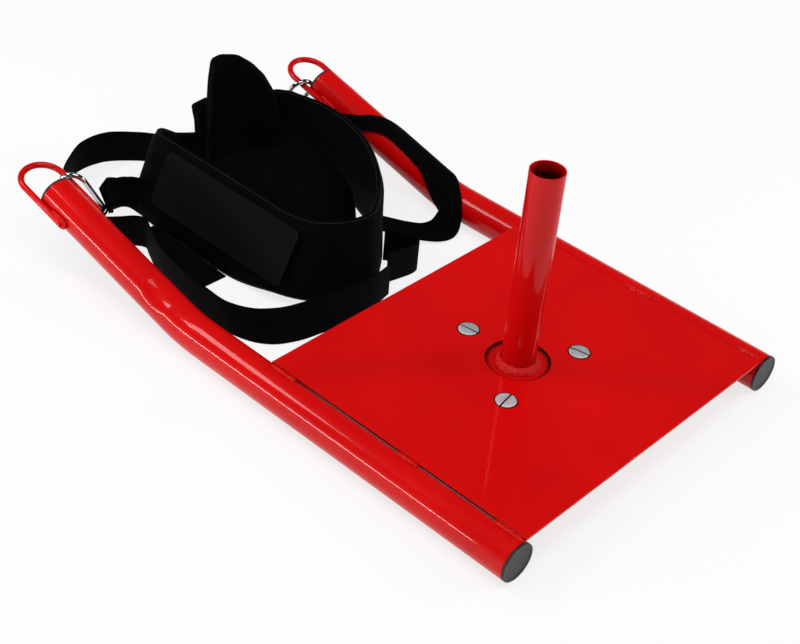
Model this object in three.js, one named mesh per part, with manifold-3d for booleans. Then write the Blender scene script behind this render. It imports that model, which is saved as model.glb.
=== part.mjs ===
// Drag sled: two bent runner tubes, a bolted deck with a weight post, two tow loops,
// and a shoulder harness that is clipped to the loops and laid down between the runners.
// Millimetres, +Z up, +Y towards the tow end. The sled is drawn with its rear tube ends at
// y = 0 and is moved at the end, so that the origin is below the middle of the whole part.
import * as THREE from "three";
import { mergeVertices } from "three/addons/utils/BufferGeometryUtils.js";
import Module from "manifold-3d";

const wasm = await Module();
wasm.setup();

// General fits
const FIT_GAP = 0.3;
const CUT_OVERRUN = 4;
const WELD_GAP = 0.35;

// Runner tubes
const TUBE_DIAMETER = 48.3;
const TUBE_WALL = 2;
const TRACK = 474;
const REAR_LENGTH = 523;
const FRONT_LENGTH = 269;
const RISE_ANGLE = THREE.MathUtils.degToRad(14.2);
const BEND_RADIUS = 220;
const BEND_STEPS = 4;
const TUBE_SIDES = 24;
const DENT_DEPTH = 2.2;
const DENT_REACH = 24;
const DENT_PAST_BEND = 52;
const DENT_TURN = THREE.MathUtils.degToRad(28);
const DENT_SPREAD = THREE.MathUtils.degToRad(46);

// Tube caps
const CAP_FLANGE = 3;
const CAP_FLANGE_SETBACK = 0.1;
const CAP_EDGE = 0.8;
const CAP_DISH = 1;
const CAP_PLUG_LENGTH = 16;
const CAP_PLUG_WALL = 3;
const CAP_RIB_DEPTH = 1.2;
const CAP_RIB_PITCH = 6;
const CAP_RIB_COUNT = 2;
const CAP_SIDES = 20;

// Deck and its screws
const DECK_LENGTH = 390;
const DECK_THICKNESS = 3;
const DECK_EDGE_INSET = 12.5;
const DECK_HOLE_DIAMETER = 80;
const SCREW_CIRCLE_DIAMETER = 159;
const SCREW_HEAD_DIAMETER = 26;
const SCREW_SHANK_DIAMETER = 12;
const SCREW_HEAD_STAND = 0.5;
const SCREW_HEAD_CROWN = 1;
const SCREW_CROWN_FLAT = 16;
const SCREW_SLOT_WIDTH = 2.4;
const SCREW_SLOT_DEPTH = 2.2;
const SCREW_TIP = 4;
const SCREW_SIDES = 20;
const SCREWS = [
  { name: "deck_screw_front", angle: Math.PI / 2, slot: -1.43 },
  { name: "deck_screw_left", angle: (7 * Math.PI) / 6, slot: 0.17 },
  { name: "deck_screw_right", angle: (11 * Math.PI) / 6, slot: -1.35 },
];
const WASHER_DIAMETER = 24;
const WASHER_THICKNESS = 2.5;
const NUT_ACROSS_FLATS = 19;
const NUT_HEIGHT = 10;

// Stitch welds along the deck's side edges, as shares of the deck's length
const DECK_WELD_LEG = 6.5;
const DECK_WELD_CROWN_SHARE = 0.25;
const DECK_WELD_SPAN_SHARES = {
  left: { rear: [0.004, 0.105], middle: [0.39, 0.468], front: [0.888, 0.992] },
  right: { rear: [0.004, 0.1], middle: [0.436, 0.534], front: [0.846, 0.992] },
};

// Weight post
const POST_DIAMETER = 42.4;
const POST_WALL = 2;
const POST_STAND = 266;
const POST_REAR_DISTANCE = 200;
const POST_RIM_ROUND = 0.6;
const POST_SIDES = 32;
const POST_FLANGE_DIAMETER = 196;
const POST_FLANGE_THICKNESS = 6;
const POST_FLANGE_SIDES = 36;
const POST_WELD_LEG = 8;
const POST_WELD_STEPS = 24;
const POST_WELD_LUMP_SHARE = 0.12;

// Tow loops
const LOOP_ROD_DIAMETER = 8.5;
const LOOP_REACH = 63.5;
const LOOP_LAP = 47;
const LOOP_TURN_STEPS = 12;
const ROD_SIDES = 12;
const LOOP_WELD_BLOB = 7;
const LOOP_WELD_PITCH = 9;
const LOOP_WELD_COUNT = 4;
const LOOP_WELD_SINK = 3.2;
const LOOP_WELD_SIZE_SHARES = [0.78, 1, 0.86, 1.04];

// Snap hooks
const HOOK_WIRE = 7;
const HOOK_LENGTH = 80;
const HOOK_BIG_RADIUS = 17;
const HOOK_SMALL_RADIUS = 9.5;
const HOOK_SIDES = 10;
const HOOK_BIG_STEPS = 14;
const HOOK_SMALL_STEPS = 8;
const HOOK_NOSE_LENGTH = 8;
const HOOK_PIN_DIAMETER = 2.4;
const HOOK_PIN_INSET = 6;
const HOOK_TONGUE = 2.4;
const HOOK_TONGUE_RADIUS = 3;
const HOOK_SLOT_LENGTH = 7;
const HOOKS = {
  left: { side: -1, gateSide: -1, pullSide: 1, ahead: 11.6, drop: 6.25, shift: 1, long: [-0.5, 0.33, 0.8], wide: [0.47, -0.67, 0.57] },
  right: { side: 1, gateSide: 1, pullSide: -1, ahead: 12.1, drop: 8.7, shift: 0.4, long: [0.05, -0.42, 0.91], wide: [0.95, -0.26, -0.17] },
};

// Harness webbing and padding
const STRAP_WIDTH = 48;
const STRAP_THICKNESS = 2.4;
const STRAP_FLOOR_GAP = 0.4;
const STRAP_STEPS = 20;
const LONG_STRAP_STEPS = 52;
const TAIL_STEPS = 6;
const TAIL_WIDTH_SHARE = 0.8;
const LEAD_TAPER_SHARE = 0.8;
const PULL_TURN = THREE.MathUtils.degToRad(70);
const SEWN_LOOP_REACH = 16;
const SEWN_PLY = 2;
const SEWN_NECK_WIDTH = 8.5;
const SEWN_FOOT_WIDTH = 30;
const BELT_WIDTH = 118;
const BELT_THICKNESS = 14;
const BELT_STEPS = 40;
const RIBBED_WIDTH = 78;
const RIBBED_THICKNESS = 2.2;
const RIBBED_STEPS = 9;
const BACK_PAD_HEIGHT = 92;
const FOLDED_PAD_HEIGHT = 192;
const FOLDED_PAD_THICKNESS = 26;
const LOW_PAD_HEIGHT = 111;
const LOW_PAD_THICKNESS = 30;
const PAD_EDGE_SHARE = 0.35;

// Sizes worked out from the ones above
const tubeRadius = TUBE_DIAMETER / 2;
const tubeBore = tubeRadius - TUBE_WALL;
const trackHalf = TRACK / 2;
const axisHeight = tubeRadius;
const clearHalf = trackHalf - tubeRadius;
const deckHalf = trackHalf - DECK_EDGE_INSET;
const deckBottom = axisHeight + Math.sqrt(tubeRadius ** 2 - DECK_EDGE_INSET ** 2) + WELD_GAP;
const deckTop = deckBottom + DECK_THICKNESS;
const flangeTop = deckBottom - FIT_GAP;
const flangeBottom = flangeTop - POST_FLANGE_THICKNESS;
const postRadius = POST_DIAMETER / 2;
const rodRadius = LOOP_ROD_DIAMETER / 2;
const legOffset = tubeRadius + rodRadius + FIT_GAP;
const runDirection = new THREE.Vector3(0, Math.cos(RISE_ANGLE), Math.sin(RISE_ANGLE));
const runNormal = new THREE.Vector3(0, -Math.sin(RISE_ANGLE), Math.cos(RISE_ANGLE));
const frontReach = REAR_LENGTH + FRONT_LENGTH * runDirection.y - DECK_LENGTH;
const hookSpan = HOOK_LENGTH - HOOK_WIRE - HOOK_BIG_RADIUS - HOOK_SMALL_RADIUS;
const wireRadius = HOOK_WIRE / 2;

const X = new THREE.Vector3(1, 0, 0);
const Y = new THREE.Vector3(0, 1, 0);
const Z = new THREE.Vector3(0, 0, 1);

// Materials
const paint = new THREE.MeshStandardMaterial({ color: 0xc81012, roughness: 0.25, metalness: 0 });
const plastic = new THREE.MeshStandardMaterial({ color: 0x1b1b1d, roughness: 0.5, metalness: 0 });
const zinc = new THREE.MeshStandardMaterial({ color: 0xb8bbbd, roughness: 0.35, metalness: 1 });
const chrome = new THREE.MeshStandardMaterial({ color: 0xd8dadc, roughness: 0.12, metalness: 1 });
const webbing = new THREE.MeshStandardMaterial({ color: 0x101012, roughness: 0.9, metalness: 0 });
const padding = new THREE.MeshStandardMaterial({ color: 0x0c0c0e, roughness: 0.95, metalness: 0 });
const ribbed = new THREE.MeshStandardMaterial({ color: 0x1c1c1e, roughness: 0.85, metalness: 0 });

const model = new THREE.Group();

function addPiece(name, geometry, material) {
  const mesh = new THREE.Mesh(geometry, material);
  mesh.name = name;
  model.add(mesh);
  return mesh;
}

function point(x, y, z) {
  return new THREE.Vector3(x, y, z);
}

// A closed skin over a row of rings with equal point counts. With loop the last ring joins
// the first, and otherwise both end rings are closed by a fan. Faces are turned outwards.
function skin(rings, loop = false) {
  const count = rings[0].length;
  const positions = rings.flat().flatMap((p) => [p.x, p.y, p.z]);
  const faces = [];
  const ringPairs = loop ? rings.length : rings.length - 1;
  for (let i = 0; i < ringPairs; i += 1) {
    const next = (i + 1) % rings.length;
    for (let j = 0; j < count; j += 1) {
      const k = (j + 1) % count;
      faces.push(i * count + j, i * count + k, next * count + k);
      faces.push(i * count + j, next * count + k, next * count + j);
    }
  }
  if (!loop) {
    for (const end of [0, rings.length - 1]) {
      const middle = rings[end].reduce((sum, p) => sum.add(p), point(0, 0, 0)).divideScalar(count);
      const hub = positions.length / 3;
      positions.push(middle.x, middle.y, middle.z);
      for (let j = 0; j < count; j += 1) {
        const k = (j + 1) % count;
        const first = end * count + j;
        const second = end * count + k;
        faces.push(...(end === 0 ? [first, hub, second] : [first, second, hub]));
      }
    }
  }
  const geometry = new THREE.BufferGeometry();
  geometry.setAttribute("position", new THREE.Float32BufferAttribute(positions, 3));
  geometry.setIndex(signedVolume(positions, faces) < 0 ? faces.reverse() : faces);
  return geometry;
}

function signedVolume(positions, faces) {
  const corner = (i) => new THREE.Vector3().fromArray(positions, faces[i] * 3);
  let sum = 0;
  for (let i = 0; i < faces.length; i += 3) {
    sum += corner(i).dot(corner(i + 1).cross(corner(i + 2)));
  }
  return sum;
}

// A ring of points round a middle, in the plane of two unit directions
function ringAround(middle, first, second, radius, sides, phase = 0) {
  return Array.from({ length: sides }, (_, i) => {
    const turn = phase + (i * 2 * Math.PI) / sides;
    return middle
      .clone()
      .addScaledVector(first, radius * Math.cos(turn))
      .addScaledVector(second, radius * Math.sin(turn));
  });
}

function sideOf(direction) {
  const helper = Math.abs(direction.z) < 0.9 ? Z : X;
  return new THREE.Vector3().crossVectors(direction, helper).normalize();
}

function bar(from, to, radius, sides, phase = 0) {
  const direction = to.clone().sub(from).normalize();
  const first = sideOf(direction);
  const second = new THREE.Vector3().crossVectors(direction, first);
  return skin([from, to].map((end) => ringAround(end, first, second, radius, sides, phase)));
}

// A turned solid: its profile is a list of [distance along the axis, radius]
function turned(profile, start, direction, sides, loop = false) {
  const first = sideOf(direction);
  const second = new THREE.Vector3().crossVectors(direction, first);
  const rings = profile.map(([along, radius]) =>
    ringAround(start.clone().addScaledVector(direction, along), first, second, radius, sides),
  );
  return skin(rings, loop);
}

function block(middle, first, second, third, sizes) {
  const corner = (a, b) =>
    middle
      .clone()
      .addScaledVector(first, (a * sizes[0]) / 2)
      .addScaledVector(second, (b * sizes[1]) / 2);
  const face = [corner(-1, -1), corner(1, -1), corner(1, 1), corner(-1, 1)];
  return skin([-1, 1].map((s) => face.map((p) => p.clone().addScaledVector(third, (s * sizes[2]) / 2))));
}

function solidOf(geometry) {
  const bare = geometry.clone();
  bare.deleteAttribute("normal");
  bare.deleteAttribute("uv");
  const merged = mergeVertices(bare);
  const mesh = new wasm.Mesh({
    numProp: 3,
    vertProperties: Float32Array.from(merged.attributes.position.array),
    triVerts: Uint32Array.from(merged.index.array),
  });
  return new wasm.Manifold(mesh);
}

function geometryOf(solid) {
  const mesh = solid.getMesh();
  const geometry = new THREE.BufferGeometry();
  geometry.setAttribute("position", new THREE.Float32BufferAttribute(mesh.vertProperties, 3));
  geometry.setIndex(new THREE.Uint32BufferAttribute(mesh.triVerts, 1));
  return geometry;
}

function cut(geometry, ...tools) {
  return geometryOf(tools.reduce((solid, tool) => solid.subtract(solidOf(tool)), solidOf(geometry)));
}

function join(...geometries) {
  return geometryOf(geometries.slice(1).reduce((solid, next) => solid.add(solidOf(next)), solidOf(geometries[0])));
}

// Runner tubes

// A place along a runner's axis: s is measured along the axis from the bend's corner
function runnerPlace(side, s) {
  const corner = point(side * trackHalf, REAR_LENGTH, axisHeight);
  return corner.addScaledVector(s < 0 ? Y : runDirection, s);
}

function runnerStations() {
  const tangent = BEND_RADIUS * Math.tan(RISE_ANGLE / 2);
  const stations = [{ middle: runnerPlace(0, -REAR_LENGTH), turn: 0 }];
  const bendStart = runnerPlace(0, -tangent);
  for (let i = 0; i <= BEND_STEPS; i += 1) {
    const turn = (RISE_ANGLE * i) / BEND_STEPS;
    const middle = bendStart
      .clone()
      .addScaledVector(Y, BEND_RADIUS * Math.sin(turn))
      .addScaledVector(Z, BEND_RADIUS * (1 - Math.cos(turn)));
    stations.push({ middle, turn });
  }
  const dentShares = [-0.6, -0.3, 0, 0.3, 0.6, 1];
  for (const share of dentShares) {
    const s = DENT_PAST_BEND + share * DENT_REACH;
    stations.push({ middle: runnerPlace(0, s), turn: RISE_ANGLE, dent: Math.max(0, 1 - share ** 2) });
  }
  stations.push({ middle: runnerPlace(0, FRONT_LENGTH), turn: RISE_ANGLE });
  return stations;
}

// The press tool leaves a shallow flat on the outer upper face, just past the bend
function dentAt(side, around, dent = 0) {
  const middle = Math.PI / 2 - side * DENT_TURN;
  const away = Math.abs(around - middle) / DENT_SPREAD;
  return away < 1 ? DENT_DEPTH * dent * (1 - away ** 2) : 0;
}

function runnerGeometry(side) {
  const wallRings = (radius) =>
    runnerStations().map(({ middle, turn, dent }) => {
      const normal = point(0, -Math.sin(turn), Math.cos(turn));
      return Array.from({ length: TUBE_SIDES }, (_, i) => {
        const around = (i * 2 * Math.PI) / TUBE_SIDES;
        const reach = radius - dentAt(side, around, dent);
        return middle
          .clone()
          .add(point(side * trackHalf, 0, 0))
          .addScaledVector(X, reach * Math.cos(around))
          .addScaledVector(normal, reach * Math.sin(around));
      });
    });
  return skin([...wallRings(tubeRadius), ...wallRings(tubeBore).reverse()], true);
}

// A cap's plug has ribs that grip the bore, and its flange has a rounded edge and a dished face
function capGeometry(end, outward) {
  const flangeRadius = tubeRadius - CAP_FLANGE_SETBACK;
  const ribRadius = tubeBore - FIT_GAP;
  const coreRadius = ribRadius - CAP_RIB_DEPTH;
  const inner = coreRadius - CAP_PLUG_WALL;
  const profile = [
    [FIT_GAP, inner],
    [-CAP_PLUG_LENGTH, inner],
    [-CAP_PLUG_LENGTH, coreRadius],
  ];
  for (let rib = CAP_RIB_COUNT; rib > 0; rib -= 1) {
    const along = -rib * CAP_RIB_PITCH;
    profile.push([along, coreRadius], [along + CAP_RIB_PITCH / 4, ribRadius], [along + CAP_RIB_PITCH / 2, coreRadius]);
  }
  profile.push([FIT_GAP, coreRadius]);
  profile.push([FIT_GAP, flangeRadius]);
  profile.push([FIT_GAP + CAP_FLANGE - CAP_EDGE, flangeRadius]);
  profile.push([FIT_GAP + CAP_FLANGE, flangeRadius - CAP_EDGE]);
  profile.push([FIT_GAP + CAP_FLANGE, flangeRadius - CAP_FLANGE]);
  profile.push([FIT_GAP + CAP_FLANGE - CAP_DISH, flangeRadius - CAP_FLANGE - CAP_DISH]);
  return turned(profile, end, outward, CAP_SIDES);
}

const sides = { left: -1, right: 1 };
for (const [label, side] of Object.entries(sides)) {
  addPiece(`runner_tube_${label}`, runnerGeometry(side), paint);
  const rearEnd = runnerPlace(side, -REAR_LENGTH);
  const frontEnd = runnerPlace(side, FRONT_LENGTH);
  rearEnd.x = side * trackHalf;
  frontEnd.x = side * trackHalf;
  addPiece(`rear_cap_${label}`, capGeometry(rearEnd, Y.clone().negate()), plastic);
  addPiece(`front_cap_${label}`, capGeometry(frontEnd, runDirection), plastic);
}

// Deck, post flange and their fasteners

const postFoot = point(0, POST_REAR_DISTANCE, 0);

function screwPlace(angle, height) {
  const radius = SCREW_CIRCLE_DIAMETER / 2;
  return postFoot.clone().add(point(radius * Math.cos(angle), radius * Math.sin(angle), height));
}

// Countersunk hole: a cone from the deck's top face down to the shank's clearance hole
function screwHole(angle) {
  const headRadius = SCREW_HEAD_DIAMETER / 2 + FIT_GAP;
  const shankRadius = SCREW_SHANK_DIAMETER / 2 + FIT_GAP;
  const sinkDepth = headRadius - shankRadius;
  const profile = [
    [CUT_OVERRUN, headRadius],
    [0, headRadius],
    [-sinkDepth, shankRadius],
    [flangeBottom - deckTop - CUT_OVERRUN, shankRadius],
  ];
  return turned(profile, screwPlace(angle, deckTop), Z, SCREW_SIDES);
}

function deckGeometry() {
  const middle = point(0, DECK_LENGTH / 2, (deckTop + deckBottom) / 2);
  const plate = block(middle, X, Y, Z, [2 * deckHalf, DECK_LENGTH, DECK_THICKNESS]);
  const from = postFoot.clone().setZ(deckBottom - CUT_OVERRUN);
  const to = postFoot.clone().setZ(deckTop + CUT_OVERRUN);
  const postHole = bar(from, to, DECK_HOLE_DIAMETER / 2, POST_FLANGE_SIDES);
  return cut(plate, postHole, ...SCREWS.map((screw) => screwHole(screw.angle)));
}

function flangeGeometry() {
  const from = postFoot.clone().setZ(flangeBottom);
  const to = postFoot.clone().setZ(flangeTop);
  const disc = bar(from, to, POST_FLANGE_DIAMETER / 2, POST_FLANGE_SIDES);
  return cut(disc, ...SCREWS.map((screw) => screwHole(screw.angle)));
}

function screwGeometry({ angle, slot }) {
  const headRadius = SCREW_HEAD_DIAMETER / 2;
  const shankRadius = SCREW_SHANK_DIAMETER / 2;
  const headTop = SCREW_HEAD_STAND + SCREW_HEAD_CROWN;
  const shankEnd = flangeBottom - deckTop - 2 * FIT_GAP - WASHER_THICKNESS - NUT_HEIGHT - SCREW_TIP;
  const profile = [
    [headTop, SCREW_CROWN_FLAT / 2],
    [SCREW_HEAD_STAND, headRadius - FIT_GAP],
    [0, headRadius],
    [shankRadius - headRadius, shankRadius],
    [shankEnd, shankRadius],
  ];
  const place = screwPlace(angle, deckTop);
  const along = point(Math.cos(slot), Math.sin(slot), 0);
  const across = new THREE.Vector3().crossVectors(Z, along);
  const slotSizes = [SCREW_HEAD_DIAMETER + CUT_OVERRUN, SCREW_SLOT_WIDTH, 2 * SCREW_SLOT_DEPTH];
  const slotCut = block(place.clone().add(point(0, 0, headTop)), along, across, Z, slotSizes);
  return cut(turned(profile, place, Z, SCREW_SIDES), slotCut);
}

function washerGeometry(angle) {
  const inner = SCREW_SHANK_DIAMETER / 2 + FIT_GAP;
  const outer = WASHER_DIAMETER / 2;
  const profile = [
    [0, inner],
    [0, outer],
    [-WASHER_THICKNESS, outer],
    [-WASHER_THICKNESS, inner],
  ];
  return turned(profile, screwPlace(angle, flangeBottom - FIT_GAP), Z, SCREW_SIDES, true);
}

function nutGeometry(angle) {
  const top = flangeBottom - 2 * FIT_GAP - WASHER_THICKNESS;
  const corner = NUT_ACROSS_FLATS / Math.sqrt(3);
  const hex = bar(screwPlace(angle, top - NUT_HEIGHT), screwPlace(angle, top), corner, 6);
  const from = screwPlace(angle, top - NUT_HEIGHT - CUT_OVERRUN);
  const to = screwPlace(angle, top + CUT_OVERRUN);
  return cut(hex, bar(from, to, SCREW_SHANK_DIAMETER / 2 + FIT_GAP, SCREW_SIDES));
}

addPiece("deck_plate", deckGeometry(), paint);
addPiece("post_flange", flangeGeometry(), paint);
for (const screw of SCREWS) {
  addPiece(screw.name, screwGeometry(screw), zinc);
  addPiece(screw.name.replace("screw", "washer"), washerGeometry(screw.angle), zinc);
  addPiece(screw.name.replace("screw", "nut"), nutGeometry(screw.angle), zinc);
}

// Stitch welds fill the corner between the deck's side edge and the round of the tube
function deckWeldGeometry(side, [fromShare, toShare]) {
  const surface = (x) => {
    const off = trackHalf - x;
    return axisHeight + Math.sqrt(tubeRadius ** 2 - off ** 2) + WELD_GAP;
  };
  const edge = deckHalf + FIT_GAP;
  const toe = edge + DECK_WELD_LEG;
  const section = [
    [edge, surface(edge)],
    [(edge + toe) / 2, surface((edge + toe) / 2)],
    [toe, surface(toe)],
    [(edge + toe) / 2, deckTop - DECK_THICKNESS * DECK_WELD_CROWN_SHARE + FIT_GAP],
    [edge, deckTop - FIT_GAP],
  ];
  const rings = [fromShare, toShare].map((share) =>
    section.map(([x, z]) => point(side * x, share * DECK_LENGTH, z)),
  );
  return skin(rings);
}

for (const [label, side] of Object.entries(sides)) {
  for (const [place, span] of Object.entries(DECK_WELD_SPAN_SHARES[label])) {
    addPiece(`deck_weld_${label}_${place}`, deckWeldGeometry(side, span), paint);
  }
}

// Weight post, welded on its flange below the deck

function postGeometry() {
  const inner = postRadius - POST_WALL;
  const bottom = flangeTop + WELD_GAP;
  const top = deckTop + POST_STAND;
  const profile = [
    [bottom, postRadius],
    [top - POST_RIM_ROUND, postRadius],
    [top, postRadius - POST_RIM_ROUND],
    [top, inner + POST_RIM_ROUND],
    [top - POST_RIM_ROUND, inner],
    [bottom, inner],
  ];
  return turned(profile, postFoot, Z, POST_SIDES, true);
}

function postWeldGeometry() {
  const inner = postRadius + 2 * FIT_GAP;
  const bottom = flangeTop + WELD_GAP;
  const rings = Array.from({ length: POST_WELD_STEPS }, (_, i) => {
    const around = (i * 2 * Math.PI) / POST_WELD_STEPS;
    const lump = 1 - POST_WELD_LUMP_SHARE * (i % 2);
    const outward = point(Math.cos(around), Math.sin(around), 0);
    const leg = POST_WELD_LEG * lump;
    const section = [
      [inner, bottom],
      [inner + leg, bottom],
      [inner + leg / 2, bottom + leg / 2],
      [inner, bottom + leg],
    ];
    return section.map(([r, z]) => postFoot.clone().addScaledVector(outward, r).add(point(0, 0, z)));
  });
  return skin(rings, true);
}

addPiece("weight_post", postGeometry(), paint);
addPiece("post_weld", postWeldGeometry(), paint);

// Tow loops: a rod bent to a U, lapped along both sides of the runner's front end

function loopPlace(side, across, s) {
  return runnerPlace(side, s).setX(side * trackHalf + across);
}

function towLoopGeometry(side) {
  const legStart = FRONT_LENGTH - LOOP_LAP;
  const turnStart = FRONT_LENGTH + LOOP_REACH - rodRadius - legOffset;
  const stations = [{ middle: loopPlace(side, -legOffset, legStart), turn: 0 }];
  for (let i = 0; i <= LOOP_TURN_STEPS; i += 1) {
    const turn = (Math.PI * i) / LOOP_TURN_STEPS;
    const s = turnStart + legOffset * Math.sin(turn);
    stations.push({ middle: loopPlace(side, -legOffset * Math.cos(turn), s), turn });
  }
  stations.push({ middle: loopPlace(side, legOffset, legStart), turn: Math.PI });
  const rings = stations.map(({ middle, turn }) => {
    const outward = point(-Math.cos(turn), 0, 0).addScaledVector(runDirection, Math.sin(turn));
    return ringAround(middle, outward, runNormal, rodRadius, ROD_SIDES);
  });
  return skin(rings);
}

function ball(middle, radius) {
  const geometry = new THREE.IcosahedronGeometry(radius, 1);
  geometry.translate(middle.x, middle.y, middle.z);
  return geometry;
}

// A run of blobs along the corner between rod and tube, on both faces and round the rod's end
function loopWeldGeometry(side, inner) {
  const across = inner * -side * legOffset;
  const towardTube = -Math.sign(across);
  const seam = across + towardTube * LOOP_WELD_SINK;
  const legStart = FRONT_LENGTH - LOOP_LAP;
  const blobs = [ball(loopPlace(side, seam, legStart - LOOP_WELD_SINK / 2), LOOP_WELD_BLOB)];
  for (const face of [-1, 1]) {
    for (let i = 0; i < LOOP_WELD_COUNT; i += 1) {
      const middle = loopPlace(side, seam, legStart + LOOP_WELD_PITCH * i);
      middle.addScaledVector(runNormal, face * LOOP_WELD_SINK);
      blobs.push(ball(middle, LOOP_WELD_BLOB * LOOP_WELD_SIZE_SHARES[i]));
    }
  }
  const rodFrom = loopPlace(side, across, legStart - WELD_GAP);
  const rodTo = loopPlace(side, across, FRONT_LENGTH);
  const tubeFrom = runnerPlace(side, DENT_PAST_BEND).setX(side * trackHalf);
  const tubeTo = runnerPlace(side, FRONT_LENGTH + CUT_OVERRUN).setX(side * trackHalf);
  const rod = bar(rodFrom, rodTo, rodRadius + WELD_GAP, ROD_SIDES);
  const tube = bar(tubeFrom, tubeTo, tubeRadius + WELD_GAP, TUBE_SIDES);
  return cut(join(...blobs), rod, tube);
}

for (const [label, side] of Object.entries(sides)) {
  addPiece(`tow_loop_${label}`, towLoopGeometry(side), paint);
  addPiece(`tow_weld_${label}_inner`, loopWeldGeometry(side, 1), paint);
  addPiece(`tow_weld_${label}_outer`, loopWeldGeometry(side, -1), paint);
}

// Snap hooks: each hangs on the inner leg of its tow loop, ahead of the tube's end

function hookFrame({ side, ahead, drop, shift, long, wide }) {
  const u = point(...long).normalize();
  const n = new THREE.Vector3().crossVectors(u, point(...wide)).normalize();
  const w = new THREE.Vector3().crossVectors(n, u);
  const onRod = loopPlace(side, -side * legOffset, FRONT_LENGTH + ahead);
  const middle = onRod.clone().addScaledVector(u, -drop).addScaledVector(w, -shift);
  return { u, w, n, middle, onRod };
}

function inHook(frame, along, across, out = 0) {
  return frame.middle
    .clone()
    .addScaledVector(frame.u, along)
    .addScaledVector(frame.w, across)
    .addScaledVector(frame.n, out);
}

// The wire's middle line runs round the big end, down the spine and round the small end.
// The gate closes the other straight side, from its pin near the small end up to the nose.
function hookLayout(hook) {
  const taper = Math.asin((HOOK_BIG_RADIUS - HOOK_SMALL_RADIUS) / hookSpan);
  const g = hook.gateSide;
  const direction = [Math.cos(taper), g * Math.sin(taper)];
  const bigTouch = [HOOK_BIG_RADIUS * Math.sin(-taper), g * HOOK_BIG_RADIUS * Math.cos(taper)];
  const smallTouch = [-hookSpan - HOOK_SMALL_RADIUS * Math.sin(taper), g * HOOK_SMALL_RADIUS * Math.cos(taper)];
  const along = (start, distance) => [start[0] + direction[0] * distance, start[1] + direction[1] * distance];
  const wireEnd = along(smallTouch, HOOK_PIN_INSET - wireRadius - 2 * FIT_GAP);
  return { taper, g, direction, bigTouch, smallTouch, along, wireEnd, pin: along(smallTouch, HOOK_PIN_INSET) };
}

function hookBodyGeometry(hook) {
  const frame = hookFrame(hook);
  const layout = hookLayout(hook);
  const { taper, g } = layout;
  const stations = [];
  const nose = layout.along(layout.bigTouch, -HOOK_NOSE_LENGTH);
  stations.push({ at: nose, turn: Math.PI / 2 + taper });
  for (let i = 0; i <= HOOK_BIG_STEPS; i += 1) {
    const turn = Math.PI / 2 + taper - (i * (Math.PI + 2 * taper)) / HOOK_BIG_STEPS;
    stations.push({ at: [HOOK_BIG_RADIUS * Math.cos(turn), g * HOOK_BIG_RADIUS * Math.sin(turn)], turn });
  }
  for (let i = 0; i <= HOOK_SMALL_STEPS; i += 1) {
    const turn = -Math.PI / 2 - taper - (i * (Math.PI - 2 * taper)) / HOOK_SMALL_STEPS;
    const along = -hookSpan + HOOK_SMALL_RADIUS * Math.cos(turn);
    stations.push({ at: [along, g * HOOK_SMALL_RADIUS * Math.sin(turn)], turn });
  }
  stations.push({ at: layout.wireEnd, turn: (-3 * Math.PI) / 2 + taper });
  const rings = stations.map(({ at, turn }) => {
    const outward = frame.u.clone().multiplyScalar(Math.cos(turn)).addScaledVector(frame.w, g * Math.sin(turn));
    return ringAround(inHook(frame, at[0], at[1]), outward, frame.n, wireRadius, HOOK_SIDES);
  });
  const wire = skin(rings);
  const { tongue, tongueEnd, pinHole } = hingeShapes(frame, layout);
  return cut(join(wire, tongue, tongueEnd), pinHole);
}

function gateAxes(frame, layout) {
  const along = frame.u.clone().multiplyScalar(layout.direction[0]).addScaledVector(frame.w, layout.direction[1]);
  const across = new THREE.Vector3().crossVectors(frame.n, along);
  return { along, across };
}

function hingeShapes(frame, layout) {
  const { along, across } = gateAxes(frame, layout);
  const pin = inHook(frame, ...layout.pin);
  const root = inHook(frame, ...layout.along(layout.wireEnd, -wireRadius));
  const tongueLength = root.distanceTo(pin);
  const tongueMiddle = root.clone().add(pin).divideScalar(2);
  const sizes = [tongueLength, 2 * HOOK_TONGUE_RADIUS, HOOK_TONGUE];
  const through = (half, radius) =>
    bar(pin.clone().addScaledVector(frame.n, -half), pin.clone().addScaledVector(frame.n, half), radius, HOOK_SIDES);
  return {
    tongue: block(tongueMiddle, along, across, frame.n, sizes),
    tongueEnd: through(HOOK_TONGUE / 2, HOOK_TONGUE_RADIUS),
    pinHole: through(wireRadius + CUT_OVERRUN, HOOK_PIN_DIAMETER / 2 + FIT_GAP),
    pinBody: through(wireRadius, HOOK_PIN_DIAMETER / 2),
  };
}

function gateGeometry(hook) {
  const frame = hookFrame(hook);
  const layout = hookLayout(hook);
  const { along, across } = gateAxes(frame, layout);
  const pin = inHook(frame, ...layout.pin);
  const tip = inHook(frame, ...layout.along(layout.bigTouch, -HOOK_NOSE_LENGTH - FIT_GAP));
  const rod = bar(pin, tip, wireRadius, HOOK_SIDES * 2);
  const slotSizes = [2 * HOOK_SLOT_LENGTH, HOOK_WIRE + CUT_OVERRUN, HOOK_TONGUE + 2 * FIT_GAP];
  const slot = block(pin, along, across, frame.n, slotSizes);
  return cut(join(rod, ball(pin, wireRadius)), slot, hingeShapes(frame, layout).pinHole);
}

function gatePinGeometry(hook) {
  return hingeShapes(hookFrame(hook), hookLayout(hook)).pinBody;
}

// Joints: each hook swings round the loop's inner leg, and each gate turns on its pin
for (const [label, hook] of Object.entries(HOOKS)) {
  addPiece(`hook_${label}`, hookBodyGeometry(hook), chrome);
  addPiece(`hook_gate_${label}`, gateGeometry(hook), chrome);
  addPiece(`hook_pin_${label}`, gatePinGeometry(hook), chrome);
}

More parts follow.
